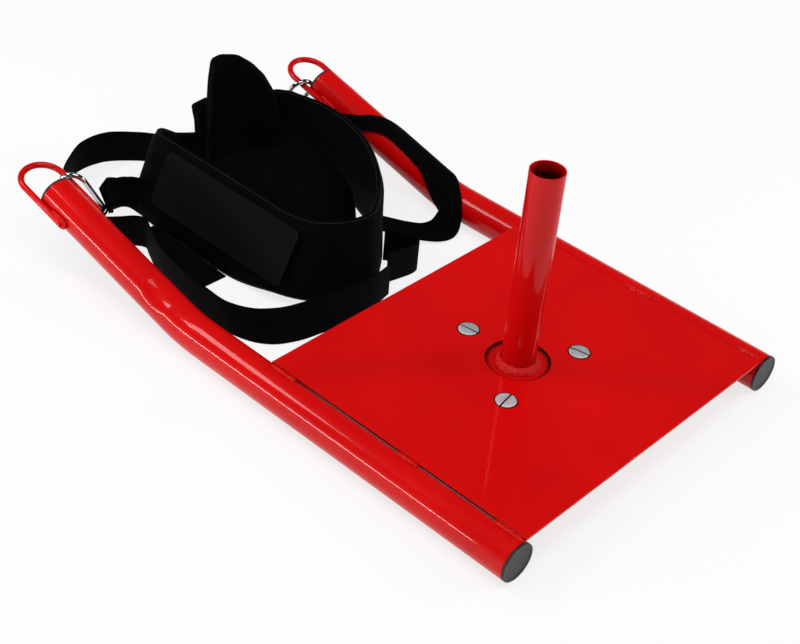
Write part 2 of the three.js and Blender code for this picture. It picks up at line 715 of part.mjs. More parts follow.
// Webbing loop sewn through a hook's small end. Its path is given as shares of its reach
// along the pull and of the wire's diameter across it, once round the wire.
const SEWN_LOOP_SHARES = [
  [-0.41, 0.14],
  [-0.28, 0.95],
  [0, 1.12],
  [0.3, 0.94],
  [0.6, 0.6],
  [0.85, 0.34],
  [0.96, 0.24],
  [1, 0],
  [0.96, -0.24],
  [0.85, -0.34],
  [0.6, -0.56],
  [0.3, -0.76],
  [0, -0.8],
  [-0.28, -0.52],
];

function pullFrame(hook) {
  const frame = hookFrame(hook);
  const wireAt = inHook(frame, -hookSpan - HOOK_SMALL_RADIUS, 0);
  const pull = frame.u.clone().multiplyScalar(-Math.cos(PULL_TURN));
  pull.addScaledVector(frame.n, hook.pullSide * Math.sin(PULL_TURN));
  const lift = frame.u.clone().multiplyScalar(Math.sin(PULL_TURN));
  lift.addScaledVector(frame.n, hook.pullSide * Math.cos(PULL_TURN));
  const across = frame.w.z < 0 ? frame.w.clone().negate() : frame.w.clone();
  const foot = wireAt.clone().addScaledVector(pull, SEWN_LOOP_REACH + STRAP_THICKNESS);
  return { wireAt, pull, lift, across, foot };
}

function sewnLoopGeometry(hook) {
  const { wireAt, pull, lift, across } = pullFrame(hook);
  const count = SEWN_LOOP_SHARES.length;
  const places = SEWN_LOOP_SHARES.map(([along, aside]) => [along * SEWN_LOOP_REACH, aside * HOOK_WIRE]);
  const rings = places.map(([along, aside], i) => {
    const before = places[(i + count - 1) % count];
    const after = places[(i + 1) % count];
    const run = new THREE.Vector2(after[0] - before[0], after[1] - before[1]).normalize();
    const widening = THREE.MathUtils.smoothstep(along, HOOK_WIRE, SEWN_LOOP_REACH);
    const half = THREE.MathUtils.lerp(SEWN_NECK_WIDTH, SEWN_FOOT_WIDTH, widening) / 2;
    const corner = (a, b) =>
      wireAt
        .clone()
        .addScaledVector(pull, along - run.y * b)
        .addScaledVector(lift, aside + run.x * b)
        .addScaledVector(across, a);
    const flat = SEWN_PLY / 2;
    return [corner(-half, -flat), corner(half, -flat), corner(half, flat), corner(-half, flat)];
  });
  return skin(rings, true);
}

// Flat bands: a ring of section points at each station, across and through the band

function bandSection(kind, width, thickness) {
  const half = width / 2;
  const flat = thickness / 2;
  if (kind === "webbing") {
    return [
      [-half, -flat],
      [half, -flat],
      [half, flat],
      [-half, flat],
    ];
  }
  const edge = flat * PAD_EDGE_SHARE;
  const inset = half - thickness / 2;
  return [
    [-half, -edge],
    [-inset, -flat],
    [0, -flat],
    [inset, -flat],
    [half, -edge],
    [half, edge],
    [inset, flat],
    [0, flat],
    [-inset, flat],
    [-half, edge],
  ];
}

function smooth(points, steps) {
  const curve = new THREE.CatmullRomCurve3(points, false, "centripetal");
  return Array.from({ length: steps + 1 }, (_, i) => curve.getPoint(i / steps));
}

// A band along smoothed stations of { at, up, width }, up being the direction of its width
function bandGeometry(stations, { kind, thickness, steps, grow = 0 }) {
  const middles = smooth(stations.map((s) => s.at), steps);
  const ups = smooth(stations.map((s) => s.up), steps);
  const widths = smooth(stations.map((s) => point(s.width, 0, 0)), steps);
  const rings = middles.map((middle, i) => {
    const before = middles[Math.max(0, i - 1)];
    const after = middles[Math.min(steps, i + 1)];
    const tangent = after.clone().sub(before).normalize();
    const up = ups[i].clone().addScaledVector(tangent, -ups[i].dot(tangent)).normalize();
    const out = new THREE.Vector3().crossVectors(tangent, up);
    return bandSection(kind, widths[i].x + 2 * grow, thickness + 2 * grow).map(([across, through]) => {
      const corner = middle.clone().addScaledVector(up, across).addScaledVector(out, through);
      return corner.setZ(Math.max(corner.z, STRAP_FLOOR_GAP - grow));
    });
  });
  return skin(rings);
}

// Places in the laid harness, as shares: x of the clear half width between the runners, y of
// the runners' reach ahead of the deck. Heights are in real sizes.
function laid(xShare, yShare, z) {
  return point(xShare * clearHalf, DECK_LENGTH + yShare * frontReach, z);
}

// A band that stands on the floor on its long edge, leaning by an up direction
function standingAt({ x, y }, lean, width) {
  const up = point(...lean).normalize();
  return { at: point(x, y, STRAP_FLOOR_GAP + (width * up.z) / 2), up, width };
}

function standing([xShare, yShare], lean, width) {
  return standingAt(laid(xShare, yShare, 0), lean, width);
}

// Waist belt: a padded band that stands in an open ring. Its width and how far its lower edge
// is off the floor are in shares of the full width.
const BELT_SIDE_SHARE = -0.37;
const BELT_SIDE_LEAN = 0.52;
const BELT_SHARES = [
  { at: [0.13, 1.112], lean: [0.02, -0.1, 1], wide: 0.56 },
  { at: [-0.06, 1.13], lean: [0.1, -0.15, 1], wide: 0.66 },
  { at: [-0.24, 1.11], lean: [0.2, -0.15, 1], wide: 0.86 },
  { at: [-0.345, 1.05], lean: [0.4, -0.1, 1], wide: 0.97 },
  { at: [BELT_SIDE_SHARE, 0.95], lean: [0.5, 0, 1], wide: 1 },
  { at: [BELT_SIDE_SHARE, 0.76], lean: [BELT_SIDE_LEAN, 0, 1], wide: 1 },
  { at: [BELT_SIDE_SHARE, 0.53], lean: [BELT_SIDE_LEAN, 0, 1], wide: 1 },
  { at: [-0.348, 0.37], lean: [0.48, 0.06, 1], wide: 0.9, lift: 0.085 },
  { at: [-0.282, 0.263], lean: [0.3, 0.2, 1], wide: 0.9, lift: 0.095 },
  { at: [-0.13, 0.2], lean: [0.08, 0.18, 1], wide: 0.95, lift: 0.045 },
  { at: [0.05, 0.18], lean: [0, 0.12, 1], wide: 1 },
  { at: [0.19, 0.225], lean: [-0.04, 0.04, 1], wide: 0.98 },
  { at: [0.35, 0.3], lean: [-0.04, 0.02, 1], wide: 0.96 },
  { at: [0.5, 0.39], lean: [-0.02, 0.02, 1], wide: 0.96 },
  { at: [0.62, 0.5], lean: [0, 0, 1], wide: 0.98 },
  { at: [0.72, 0.64], lean: [0, 0, 1], wide: 1 },
  { at: [0.76, 0.79], lean: [0, 0, 1], wide: 1 },
  { at: [0.75, 0.93], lean: [0, 0, 1], wide: 0.95 },
  { at: [0.757, 0.985], lean: [0, 0, 1], wide: 0.9 },
  { at: [0.74, 1.03], lean: [0, 0, 1], wide: 0.87 },
  { at: [0.7, 1.052], lean: [0, 0, 1], wide: 0.86 },
];

function beltGeometry(grow = 0) {
  const stations = BELT_SHARES.map(({ at, lean, wide, lift = 0 }) => {
    const station = standing(at, lean, BELT_WIDTH * wide);
    station.at.z += BELT_WIDTH * lift;
    return station;
  });
  return bandGeometry(stations, { kind: "pad", thickness: BELT_THICKNESS, steps: BELT_STEPS, grow });
}

// The ribbed band lies on the belt's outer face along the left runner
const RIBBED_SHARES = { from: 0.965, to: 0.31, x: BELT_SIDE_SHARE, lean: BELT_SIDE_LEAN, rise: 0.06 };

function ribbedBandGeometry() {
  const { from, to, x, lean, rise } = RIBBED_SHARES;
  const stations = [0, 1 / 3, 2 / 3, 1].map((share) => {
    const station = standing([x, from + (to - from) * share], [lean, 0, 1], BELT_WIDTH);
    const out = point(-station.up.z, 0, station.up.x);
    const stand = (BELT_THICKNESS + RIBBED_THICKNESS) / 2 + FIT_GAP;
    station.at.addScaledVector(out, stand).addScaledVector(station.up, BELT_WIDTH * rise);
    station.width = RIBBED_WIDTH;
    return station;
  });
  return bandGeometry(stations, { kind: "webbing", thickness: RIBBED_THICKNESS, steps: RIBBED_STEPS });
}

const belt = beltGeometry();
const beltClearance = beltGeometry(FIT_GAP);
addPiece("belt_pad", belt, padding);
addPiece("belt_ribbed_band", cut(ribbedBandGeometry(), beltClearance), ribbed);

// Back pad: a crowned cushion inside the belt. Its outline is in shares of the clear half
// width and the reach, each level gives a share of its height and of its outline.
const BACK_PAD_SHARES = [
  [-0.24, 0.96],
  [-0.3, 0.76],
  [-0.3, 0.54],
  [-0.22, 0.37],
  [-0.06, 0.27],
  [0.1, 0.27],
  [0.27, 0.34],
  [0.44, 0.43],
  [0.6, 0.57],
  [0.72, 0.72],
  [0.6, 0.86],
  [0.36, 0.9],
  [0.08, 0.97],
];
const BACK_PAD_LEVEL_SHARES = [
  [0, 0.86],
  [0.14, 1],
  [0.6, 0.97],
  [0.86, 0.84],
  [0.97, 0.5],
];

function backPadGeometry() {
  const outline = BACK_PAD_SHARES.map(([x, y]) => laid(x, y, 0));
  const middle = outline.reduce((sum, p) => sum.add(p), point(0, 0, 0)).divideScalar(outline.length);
  const rings = BACK_PAD_LEVEL_SHARES.map(([height, spread]) =>
    outline.map((p) => middle.clone().lerp(p, spread).setZ(STRAP_FLOOR_GAP + height * BACK_PAD_HEIGHT)),
  );
  return skin(rings);
}

// Shoulder pads: folded over and standing on edge. The outline of each is in shares of its
// length and height, and each layer gives a share of its thickness and of its outline.
const FOLDED_PAD_SHARES = [
  [0, 0],
  [0.03, 0.69],
  [0.045, 0.83],
  [0.08, 0.97],
  [0.2, 1],
  [0.42, 0.99],
  [0.61, 0.92],
  [0.78, 0.82],
  [0.91, 0.69],
  [0.98, 0.54],
  [1, 0],
];
const LOW_PAD_SHARES = [
  [0, 0],
  [-0.01, 0.57],
  [-0.02, 0.72],
  [-0.06, 0.93],
  [0.15, 1],
  [0.7, 1],
  [0.95, 0.85],
  [1, 0.6],
  [1, 0],
];
const PAD_LAYER_SHARES = [
  [-0.5, 0.8],
  [-0.4, 0.95],
  [-0.15, 1],
  [0.15, 1],
  [0.4, 0.95],
  [0.5, 0.8],
];

function uprightPadGeometry(outlineShares, foot, head, height, thickness) {
  const along = head.clone().sub(foot);
  const length = along.length();
  along.normalize();
  const out = new THREE.Vector3().crossVectors(along, Z);
  const middle = foot.clone().addScaledVector(along, length / 2).add(point(0, 0, height / 2));
  const outline = outlineShares.map(([a, z]) => foot.clone().addScaledVector(along, a * length).add(point(0, 0, z * height)));
  const rings = PAD_LAYER_SHARES.map(([depth, spread]) =>
    outline.map((p) => middle.clone().lerp(p, spread).addScaledVector(out, depth * thickness)),
  );
  return skin(rings);
}

// Where the low pad stands, and how far the folded one stands behind it in its own thickness
const LOW_PAD_FEET_SHARES = [
  [0.158, 1.1132],
  [0.63, 1.0275],
];
const FOLDED_PAD_BEHIND_SHARES = [
  [-0.148, -0.897],
  [-0.55, -1.52],
];
const lowPadFeet = LOW_PAD_FEET_SHARES.map(([x, y]) => laid(x, y, 0));
const foldedPadFeet = FOLDED_PAD_BEHIND_SHARES.map(([x, y], i) =>
  point(x, y, 0).multiplyScalar(FOLDED_PAD_THICKNESS).add(lowPadFeet[i]),
);

function uprightPad(outlineShares, [from, to], height, thickness, grow = 0) {
  const foot = from.clone().setZ(STRAP_FLOOR_GAP - grow);
  const head = to.clone().setZ(STRAP_FLOOR_GAP - grow);
  const aside = head.clone().sub(foot).setLength(grow);
  const sizes = [height + 2 * grow, thickness + 2 * grow];
  return uprightPadGeometry(outlineShares, foot.sub(aside), head.add(aside), ...sizes);
}

function foldedPadGeometry(grow = 0) {
  return uprightPad(FOLDED_PAD_SHARES, foldedPadFeet, FOLDED_PAD_HEIGHT, FOLDED_PAD_THICKNESS, grow);
}

const foldedClearance = foldedPadGeometry(FIT_GAP);
const lowPad = uprightPad(LOW_PAD_SHARES, lowPadFeet, LOW_PAD_HEIGHT, LOW_PAD_THICKNESS);
addPiece("shoulder_pad_folded", foldedPadGeometry(), padding);
addPiece("shoulder_pad_low", cut(lowPad, beltClearance, foldedClearance), padding);
addPiece("back_pad", cut(backPadGeometry(), beltClearance, foldedClearance), padding);

// Straps of the laid harness: routes in shares, with a lean of the band at each place. Places
// by the left hook are counted from there, in strap widths.
const LONG_STRAP_SHARES = [
  { at: [0.02, 1.235], lean: [0, 0, 1] },
  { at: [-0.08, 1.3], lean: [0, 0, 1] },
  { at: [-0.26, 1.37], lean: [0, 0, 1] },
  { at: [-0.45, 1.372], lean: [0, -0.1, 1] },
  { at: [-0.62, 1.32], lean: [-0.2, -0.3, 1] },
  { at: [-0.76, 1.24], lean: [-0.35, -0.35, 1] },
  { byHook: [0.115, 1.035], lean: [-0.2, -0.1, 1] },
  { byHook: [-0.107, 0.132], lean: [0, 0, 1] },
  { byHook: [0.026, -0.524], lean: [0, 0, 1] },
  { at: [-0.81, 0.905], lean: [0, 0, 1] },
  { at: [-0.72, 0.87], lean: [0, 0, 1] },
  { at: [-0.69, 0.84], lean: [0, 0, 1] },
  { at: [-0.72, 0.8], lean: [0, 0, 1] },
  { at: [-0.8, 0.7], lean: [0, 0, 1] },
  { at: [-0.86, 0.55], lean: [0, 0, 1] },
  { at: [-0.88, 0.4], lean: [0, 0, 1] },
  { at: [-0.87, 0.3], lean: [0, 0, 1] },
  { at: [-0.81, 0.225], lean: [0.1, 0.1, 1] },
  { at: [-0.72, 0.18], lean: [0.25, 0.25, 1] },
  { at: [-0.62, 0.155], lean: [0.3, 0.3, 1] },
  { at: [-0.48, 0.135], lean: [0.3, 0.3, 1] },
  { at: [-0.28, 0.115], lean: [0.2, 0.25, 1] },
  { at: [-0.05, 0.105], lean: [0.1, 0.1, 1] },
  { at: [0.12, 0.12], lean: [0, 0, 1] },
];
const LOOSE_STRAP_SHARES = [
  { at: [0.36, 0.27], lean: [0, 0, 1] },
  { at: [0.41, 0.23], lean: [0, 0, 1] },
  { at: [0.45, 0.19], lean: [0, 0, 1] },
  { at: [0.45, 0.158], lean: [0, 0, 1] },
  { at: [0.4, 0.15], lean: [0, 0, 1] },
  { at: [0.3, 0.158], lean: [0, 0, 1] },
  { at: [0.2, 0.17], lean: [0, 0, 1] },
];
// The flat tail's places: strap widths from the belt's foot, and share of the reach
const FLAT_TAIL_SHARES = [
  [-0.3, 0.92],
  [-0.256, 0.85],
  [-0.28, 0.76],
  [-0.323, 0.67],
  [-0.346, 0.54],
];
const LEFT_LEAD_LEAN = [-0.344, 0.227, 0.911];
const LEAD_START_SHARE = 0.2;
const LEFT_LEAD_DROP_SHARES = { at: [-0.6, 1.08], z: 0.12 };
const LEFT_LEAD_SHARES = [
  { at: [-0.5, 1.088], lean: [0, 0, 1] },
  { at: [-0.455, 1.06], lean: [0.25, 0, 1] },
  { at: [-0.432, 1.0], lean: [0.5, 0, 1] },
];

function strapGeometry(stations, steps, grow = 0) {
  return bandGeometry(stations, { kind: "webbing", thickness: STRAP_THICKNESS, steps, grow });
}

// Where a hook's gate has come down to the height of a strap that stands on the floor
function overStrap(hook) {
  const frame = hookFrame(hook);
  const { pin, along } = hookLayout(hook);
  const low = inHook(frame, ...pin);
  const climb = inHook(frame, ...along(pin, HOOK_WIRE)).sub(low);
  const short = STRAP_FLOOR_GAP + STRAP_WIDTH + wireRadius - low.z;
  return low.addScaledVector(climb, Math.max(0, short) / climb.z);
}

const byHookFrom = overStrap(HOOKS.left);

function standingStations(shares) {
  return shares.map(({ at, byHook, lean }) => {
    const shift = byHook && point(...byHook, 0).multiplyScalar(STRAP_WIDTH);
    return standingAt(shift ? byHookFrom.clone().add(shift) : laid(...at, 0), lean, STRAP_WIDTH);
  });
}

// The left lead strap leaves its sewn loop on edge, beside the hook, and comes down to the floor
function leftLeadStations() {
  const { foot, pull } = pullFrame(HOOKS.left);
  const width = STRAP_WIDTH * LEAD_TAPER_SHARE;
  const lean = point(...LEFT_LEAD_LEAN).normalize();
  const dropped = standing(LEFT_LEAD_DROP_SHARES.at, Z.toArray(), STRAP_WIDTH);
  dropped.at.z += STRAP_WIDTH * LEFT_LEAD_DROP_SHARES.z;
  const start = foot.clone().addScaledVector(pull, HOOK_WIRE / 2).addScaledVector(lean, width * LEAD_START_SHARE);
  const next = start.clone().addScaledVector(pull, STRAP_WIDTH / 3);
  return [
    { at: start, up: lean, width },
    { at: next, up: lean.clone().add(Z).normalize(), width: STRAP_WIDTH },
    dropped,
    ...standingStations(LEFT_LEAD_SHARES),
  ];
}

// The right lead strap is laid by its cross lines, each a row of points from its upper edge to
// its lower one. It leaves the hook's sewn loop, wraps over the right runner, comes down the
// runner's inner side and turns flat on the floor, back to the belt.
const RIGHT_LEAD_RISE_SHARES = [
  { at: [0.88, 1.137], z: 0.65, lean: [0.05, 0, 1], wide: 0.75 },
  { at: [0.89, 1.062], z: 1.05, lean: [0.1, 0.1, 0.95], wide: 0.6 },
  { at: [0.93, 0.998], z: 1.35, lean: [0.25, 0.2, 0.95], wide: 0.48 },
];
// Places on the runner: share of the stretch between the deck and the tow loop's weld, turn
// towards the middle in right angles, and width, because the strap is folded in half lengthwise
// where it comes up from the hook
const RIGHT_LEAD_ON_RUNNER_SHARES = [
  [0.923, 0.95, 0.42],
  [0.86, 0.66, 0.4],
  [0.802, 0.33, 0.5],
  [0.733, 0.04, 0.68],
  [0.646, -0.1, 0.9],
  [0.577, -0.12, 1],
  [0.512, -0.06, 1],
  [0.433, 0.2, 1],
  [0.369, 0.58, 1],
  [0.329, 0.92, 1],
  [0.314, 1.25, 1],
];
// Ends of the cross lines on the floor, each as x and y shares and a height in strap widths
const RIGHT_LEAD_FLOOR_SHARES = [
  [0.945, 0.206, 0.12, 0.951, 0.324, 0.1],
  [0.876, 0.2, 0.05, 0.904, 0.32, 0.08],
  [0.782, 0.211, 0.08, 0.831, 0.328, 0.1],
  [0.676, 0.255, 0.15, 0.767, 0.359, 0.14],
  [0.603, 0.315, 0.19, 0.717, 0.402, 0.16],
  [0.542, 0.385, 0.2, 0.662, 0.482, 0.12],
];
const RUNNER_WRAP_GAP = 1.5;
const wrapStretch = loopPlace(1, 0, FRONT_LENGTH - LOOP_LAP).y - LOOP_WELD_BLOB - DECK_LENGTH;
const CROSS_COUNT = 7;
const WRAP_STEPS = 20;
const FLOOR_STEPS = 10;

function runnerAxisHeight(y) {
  const tangent = BEND_RADIUS * Math.tan(RISE_ANGLE / 2);
  const past = y - (REAR_LENGTH - tangent);
  if (past <= 0) {
    return axisHeight;
  }
  if (past < BEND_RADIUS * Math.sin(RISE_ANGLE)) {
    return axisHeight + BEND_RADIUS - Math.sqrt(BEND_RADIUS ** 2 - past ** 2);
  }
  return axisHeight + (y - REAR_LENGTH) * Math.tan(RISE_ANGLE);
}

function crossShares() {
  return Array.from({ length: CROSS_COUNT }, (_, i) => 0.5 - i / (CROSS_COUNT - 1));
}

function straightCross(middle, up, width) {
  return crossShares().map((share) => middle.clone().addScaledVector(up, share * width));
}

// A cross line wrapped round the runner, square to the strap's own direction on its surface
function wrappedCross([yShare, turnShare, wide], [yNext, turnNext]) {
  const away = tubeRadius + RUNNER_WRAP_GAP + STRAP_THICKNESS / 2;
  const arcOf = (share) => (share * Math.PI * away) / 2;
  const run = new THREE.Vector2((yNext - yShare) * wrapStretch, arcOf(turnNext - turnShare)).normalize();
  const width = STRAP_WIDTH * wide;
  return crossShares().map((share) => {
    const y = DECK_LENGTH + yShare * wrapStretch - share * width * run.y;
    const turn = (arcOf(turnShare) + share * width * run.x) / away;
    const rise = (away * Math.cos(turn)) / (y > REAR_LENGTH ? runDirection.y : 1);
    return point(trackHalf - away * Math.sin(turn), y, runnerAxisHeight(y) + rise);
  });
}

function rightLeadCrosses() {
  const { foot, pull, across } = pullFrame(HOOKS.right);
  const next = foot.clone().addScaledVector(pull, STRAP_WIDTH / 4);
  const onRunner = smooth(RIGHT_LEAD_ON_RUNNER_SHARES.map((share) => point(...share)), WRAP_STEPS);
  const wrapped = onRunner.slice(0, -1).map((p, i) => wrappedCross(p.toArray(), onRunner[i + 1].toArray()));
  const rise = RIGHT_LEAD_RISE_SHARES.map(({ at: [x, y], z, lean, wide }) => {
    const middle = point(x * clearHalf, DECK_LENGTH + y * wrapStretch, z * STRAP_WIDTH);
    return straightCross(middle, point(...lean).normalize(), STRAP_WIDTH * wide);
  });
  const start = [
    straightCross(foot, across, SEWN_FOOT_WIDTH),
    straightCross(next, across, STRAP_WIDTH * LEAD_TAPER_SHARE),
    ...rise,
  ];
  const floor = RIGHT_LEAD_FLOOR_SHARES.map(([x1, y1, z1, x2, y2, z2]) => {
    const upper = laid(x1, y1, z1 * STRAP_WIDTH);
    const lower = laid(x2, y2, z2 * STRAP_WIDTH);
    return crossShares().map((share) => upper.clone().lerp(lower, 0.5 - share));
  });
  const smoothRows = (rows, steps) => {
    const columns = rows[0].map((_, j) => smooth(rows.map((row) => row[j]), steps));
    return columns[0].map((_, i) => columns.map((column) => column[i]));
  };
  const intro = smoothRows([...start, wrapped[0]], FLOOR_STEPS).slice(0, -1);
  const outro = smoothRows([wrapped[wrapped.length - 1], ...floor], FLOOR_STEPS).slice(1);
  return [...intro, ...wrapped, ...outro];
}

// A thin closed sheet through rows of cross points
function sheetGeometry(rows, thickness) {
  const last = rows.length - 1;
  const rings = rows.map((row, i) => {
    const normals = row.map((_, j) => {
      const along = rows[Math.min(last, i + 1)][j].clone().sub(rows[Math.max(0, i - 1)][j]);
      const across = row[Math.min(row.length - 1, j + 1)].clone().sub(row[Math.max(0, j - 1)]);
      return new THREE.Vector3().crossVectors(across, along).normalize();
    });
    const face = (side) => row.map((p, j) => p.clone().addScaledVector(normals[j], (side * thickness) / 2));
    return [...face(1), ...face(-1).reverse()].map((p) => p.setZ(Math.max(p.z, STRAP_FLOOR_GAP)));
  });
  return skin(rings);
}

addPiece("sewn_loop_left", sewnLoopGeometry(HOOKS.left), webbing);
addPiece("sewn_loop_right", sewnLoopGeometry(HOOKS.right), webbing);
addPiece("lead_strap_left", cut(strapGeometry(leftLeadStations(), STRAP_STEPS), beltClearance), webbing);
addPiece("long_strap", strapGeometry(standingStations(LONG_STRAP_SHARES), LONG_STRAP_STEPS), webbing);
addPiece("loose_strap", cut(strapGeometry(standingStations(LOOSE_STRAP_SHARES), STRAP_STEPS), beltClearance), webbing);
addPiece("lead_strap_right", cut(sheetGeometry(rightLeadCrosses(), STRAP_THICKNESS), beltClearance), webbing);
const beltUp = point(BELT_SIDE_LEAN, 0, 1).normalize();
const beltFoot = BELT_SIDE_SHARE * clearHalf - (BELT_WIDTH * beltUp.x + BELT_THICKNESS * beltUp.z) / 2;
const tail = FLAT_TAIL_SHARES.map(([x, y]) => {
  const at = laid(0, y, STRAP_FLOOR_GAP + STRAP_THICKNESS / 2).setX(beltFoot + x * STRAP_WIDTH);
  return { at, up: X, width: STRAP_WIDTH * TAIL_WIDTH_SHARE };
});
addPiece("strap_tail", cut(strapGeometry(tail, TAIL_STEPS), beltClearance), webbing);

// The origin is below the middle of the whole part
const extent = new THREE.Box3().setFromObject(model);
for (const mesh of model.children) {
  mesh.geometry.translate(0, -(extent.min.y + extent.max.y) / 2, 0);
}

export default model;
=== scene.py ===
"""A red drag sled with its tow harness clipped on and laid between the runners.

Sizes are millimetres on the sled, with y counted from the rear ends of the runners, and every
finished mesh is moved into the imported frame, in metres.
"""
import math
from functools import reduce

import bpy
import numpy as np
from mathutils import Matrix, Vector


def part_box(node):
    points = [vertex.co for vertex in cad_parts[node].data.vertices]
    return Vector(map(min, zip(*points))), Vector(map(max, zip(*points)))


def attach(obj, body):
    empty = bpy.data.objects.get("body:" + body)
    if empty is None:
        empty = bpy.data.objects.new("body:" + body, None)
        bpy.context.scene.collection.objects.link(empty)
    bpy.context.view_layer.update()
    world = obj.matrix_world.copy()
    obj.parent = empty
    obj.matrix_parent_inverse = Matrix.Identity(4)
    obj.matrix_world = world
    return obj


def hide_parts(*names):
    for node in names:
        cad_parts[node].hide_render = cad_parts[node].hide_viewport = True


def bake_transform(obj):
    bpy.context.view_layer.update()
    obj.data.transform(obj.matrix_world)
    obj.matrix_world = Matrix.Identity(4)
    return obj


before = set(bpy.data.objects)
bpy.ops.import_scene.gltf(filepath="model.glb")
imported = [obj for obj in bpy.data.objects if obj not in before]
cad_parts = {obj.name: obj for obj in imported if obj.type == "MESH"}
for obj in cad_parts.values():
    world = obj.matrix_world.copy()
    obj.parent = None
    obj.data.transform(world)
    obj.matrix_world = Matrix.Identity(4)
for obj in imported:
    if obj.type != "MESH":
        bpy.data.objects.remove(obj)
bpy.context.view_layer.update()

MM = 0.001
REAR_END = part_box("deck_plate")[0][1] / MM
SIDES = {"left": -1, "right": 1}

# Runner tubes, bent up at the front
TUBE_RADIUS = 24.15
TUBE_WALL = 2
TRACK_HALF = 237
REAR_LENGTH = 523
FRONT_LENGTH = 269
RISE = math.radians(14.2)
BEND_RADIUS = 220
DENT_DEPTH = 2.2
DENT_REACH = 24
DENT_PAST_BEND = 52
DENT_TURN = math.radians(28)
DENT_SPREAD = math.radians(46)

# Deck, post and screws
DECK_LENGTH = 390
DECK_THICKNESS = 3
DECK_HALF = 224.5
SHEET_EDGE = 0.35
WELD_GAP = 0.35
FIT_GAP = 0.3
DECK_BOTTOM = TUBE_RADIUS + math.sqrt(TUBE_RADIUS ** 2 - 12.5 ** 2) + WELD_GAP
DECK_TOP = DECK_BOTTOM + DECK_THICKNESS
FLANGE_TOP = DECK_BOTTOM - FIT_GAP
FLANGE_THICKNESS = 6
FLANGE_RADIUS = 98
DECK_HOLE_RADIUS = 40
SCREW_CIRCLE_RADIUS = 79.5
SCREW_HEAD_RADIUS = 13
SCREW_SHANK_RADIUS = 6
SLOT_HALF = 1.2
SLOT_DEPTH = 2.2
SCREWS = {"front": (math.pi / 2, -1.43), "left": (7 * math.pi / 6, 0.17), "right": (11 * math.pi / 6, -1.35)}
WELD_SPANS = {
    "left": {"rear": (0.004, 0.105), "middle": (0.39, 0.468), "front": (0.888, 0.992)},
    "right": {"rear": (0.004, 0.1), "middle": (0.436, 0.534), "front": (0.846, 0.992)},
}
POST_RADIUS = 21.2
POST_WALL = 2
POST_STAND = 266
POST_Y = 200

# Tow loops and snap hooks
ROD_RADIUS = 4.25
LOOP_REACH = 63.5
LOOP_LAP = 47
LEG_OFFSET = TUBE_RADIUS + ROD_RADIUS + FIT_GAP
WIRE_RADIUS = 3.5
HOOK_SPAN = 46.5
HOOK_BIG = 17
HOOK_SMALL = 9.5
HOOK_NOSE = 8
HOOK_PIN_INSET = 6
FORK_HALF = 1.5
TONGUE_RADIUS = 2.9
HOOKS = {
    "left": dict(side=-1, gate=-1, pull=1, ahead=11.6, drop=6.25, shift=1,
                 long=(-0.5, 0.33, 0.8), wide=(0.47, -0.67, 0.57)),
    "right": dict(side=1, gate=1, pull=-1, ahead=12.1, drop=8.7, shift=0.4,
                  long=(0.05, -0.42, 0.91), wide=(0.95, -0.26, -0.17)),
}

# Harness
STRAP_WIDTH = 48
STRAP_THICKNESS = 2.4
NARROW_SHARE = 0.8
SEWN_REACH = 16
SEWN_WIDTH = 30
SEWN_NECK = 8.5
FLOOR_GAP = 0.4
BELT_WIDTH = 118
BELT_THICKNESS = 14
BELT_EDGE = 2.6
RIBBED_WIDTH = 78.0
RIB_PITCH = 3.1
RIB_HEIGHT = 0.55
BAND_CORNER = 9
BAND_LIFT = 1.1
BAND_RAISE = 0.06
PIPING_RADIUS = 1.8
PAD_SPREAD = 1.01
PAD_ROLL = 0.1
STITCH_PITCH = 4.0
STITCH_LENGTH = 2.7
THREAD_RADIUS = 0.42
FOLDED_HEIGHT = 192
FOLDED_THICKNESS = 26
LOW_HEIGHT = 111
LOW_THICKNESS = 30
CUSHION_HEIGHT = 90
CLEAR_HALF = TRACK_HALF - TUBE_RADIUS

X = np.array((1.0, 0, 0))
Y = np.array((0, 1.0, 0))
Z = np.array((0, 0, 1.0))
RUN = np.array((0, math.cos(RISE), math.sin(RISE)))
RUN_NORMAL = np.array((0, -math.sin(RISE), math.cos(RISE)))
FRONT_REACH = REAR_LENGTH + FRONT_LENGTH * RUN[1] - DECK_LENGTH
POST_FOOT = np.array((0.0, POST_Y, 0.0))


def unit(v):
    """A vector, or each row of an array of them, divided by its own length."""
    v = np.asarray(v, float)
    return v / np.maximum(np.linalg.norm(v, axis=-1, keepdims=True), 1e-12)


def screw_spot(angle, height=0.0):
    """A place on the screw circle round the post."""
    return POST_FOOT + SCREW_CIRCLE_RADIUS * np.array((math.cos(angle), math.sin(angle), 0)) + height * Z


def linked(name, data):
    """An object of the scene that holds the data."""
    made = bpy.data.objects.new(name, data)
    bpy.context.scene.collection.objects.link(made)
    return made


def aimed(name, data, right, up, place):
    """An object with its own right and up directions, at a place in metres."""
    made = linked(name, data)
    away = np.cross(right, up)
    made.matrix_world = Matrix([*zip(right, up, away, place), (0, 0, 0, 1)])
    return made


# Camera: the photograph's viewing angle, as its two unit directions and its place

CAMERA_PLACE = np.array((-1177.57, -607.71, 1160.07))
CAMERA_RIGHT = np.array((0.68778374, -0.72182125, 0.07699099))
CAMERA_UP = np.array((0.39526411, 0.46134795, 0.79430747))
CAMERA_LENS = 67.73

camera_data = bpy.data.cameras.new("camera")
camera_data.lens = CAMERA_LENS
camera_data.sensor_width = 36
camera_data.clip_end = 50
bpy.context.scene.camera = aimed("camera", camera_data, CAMERA_RIGHT, CAMERA_UP,
                                 (CAMERA_PLACE + REAR_END * Y) * MM)


# Materials


def linear(code):
    """An sRGB colour written as hex, as linear red, green, blue and full alpha."""
    values = [int(code[i:i + 2], 16) / 255 for i in (1, 3, 5)]
    return (*[v / 12.92 if v <= 0.04045 else ((v + 0.055) / 1.055) ** 2.4 for v in values], 1)


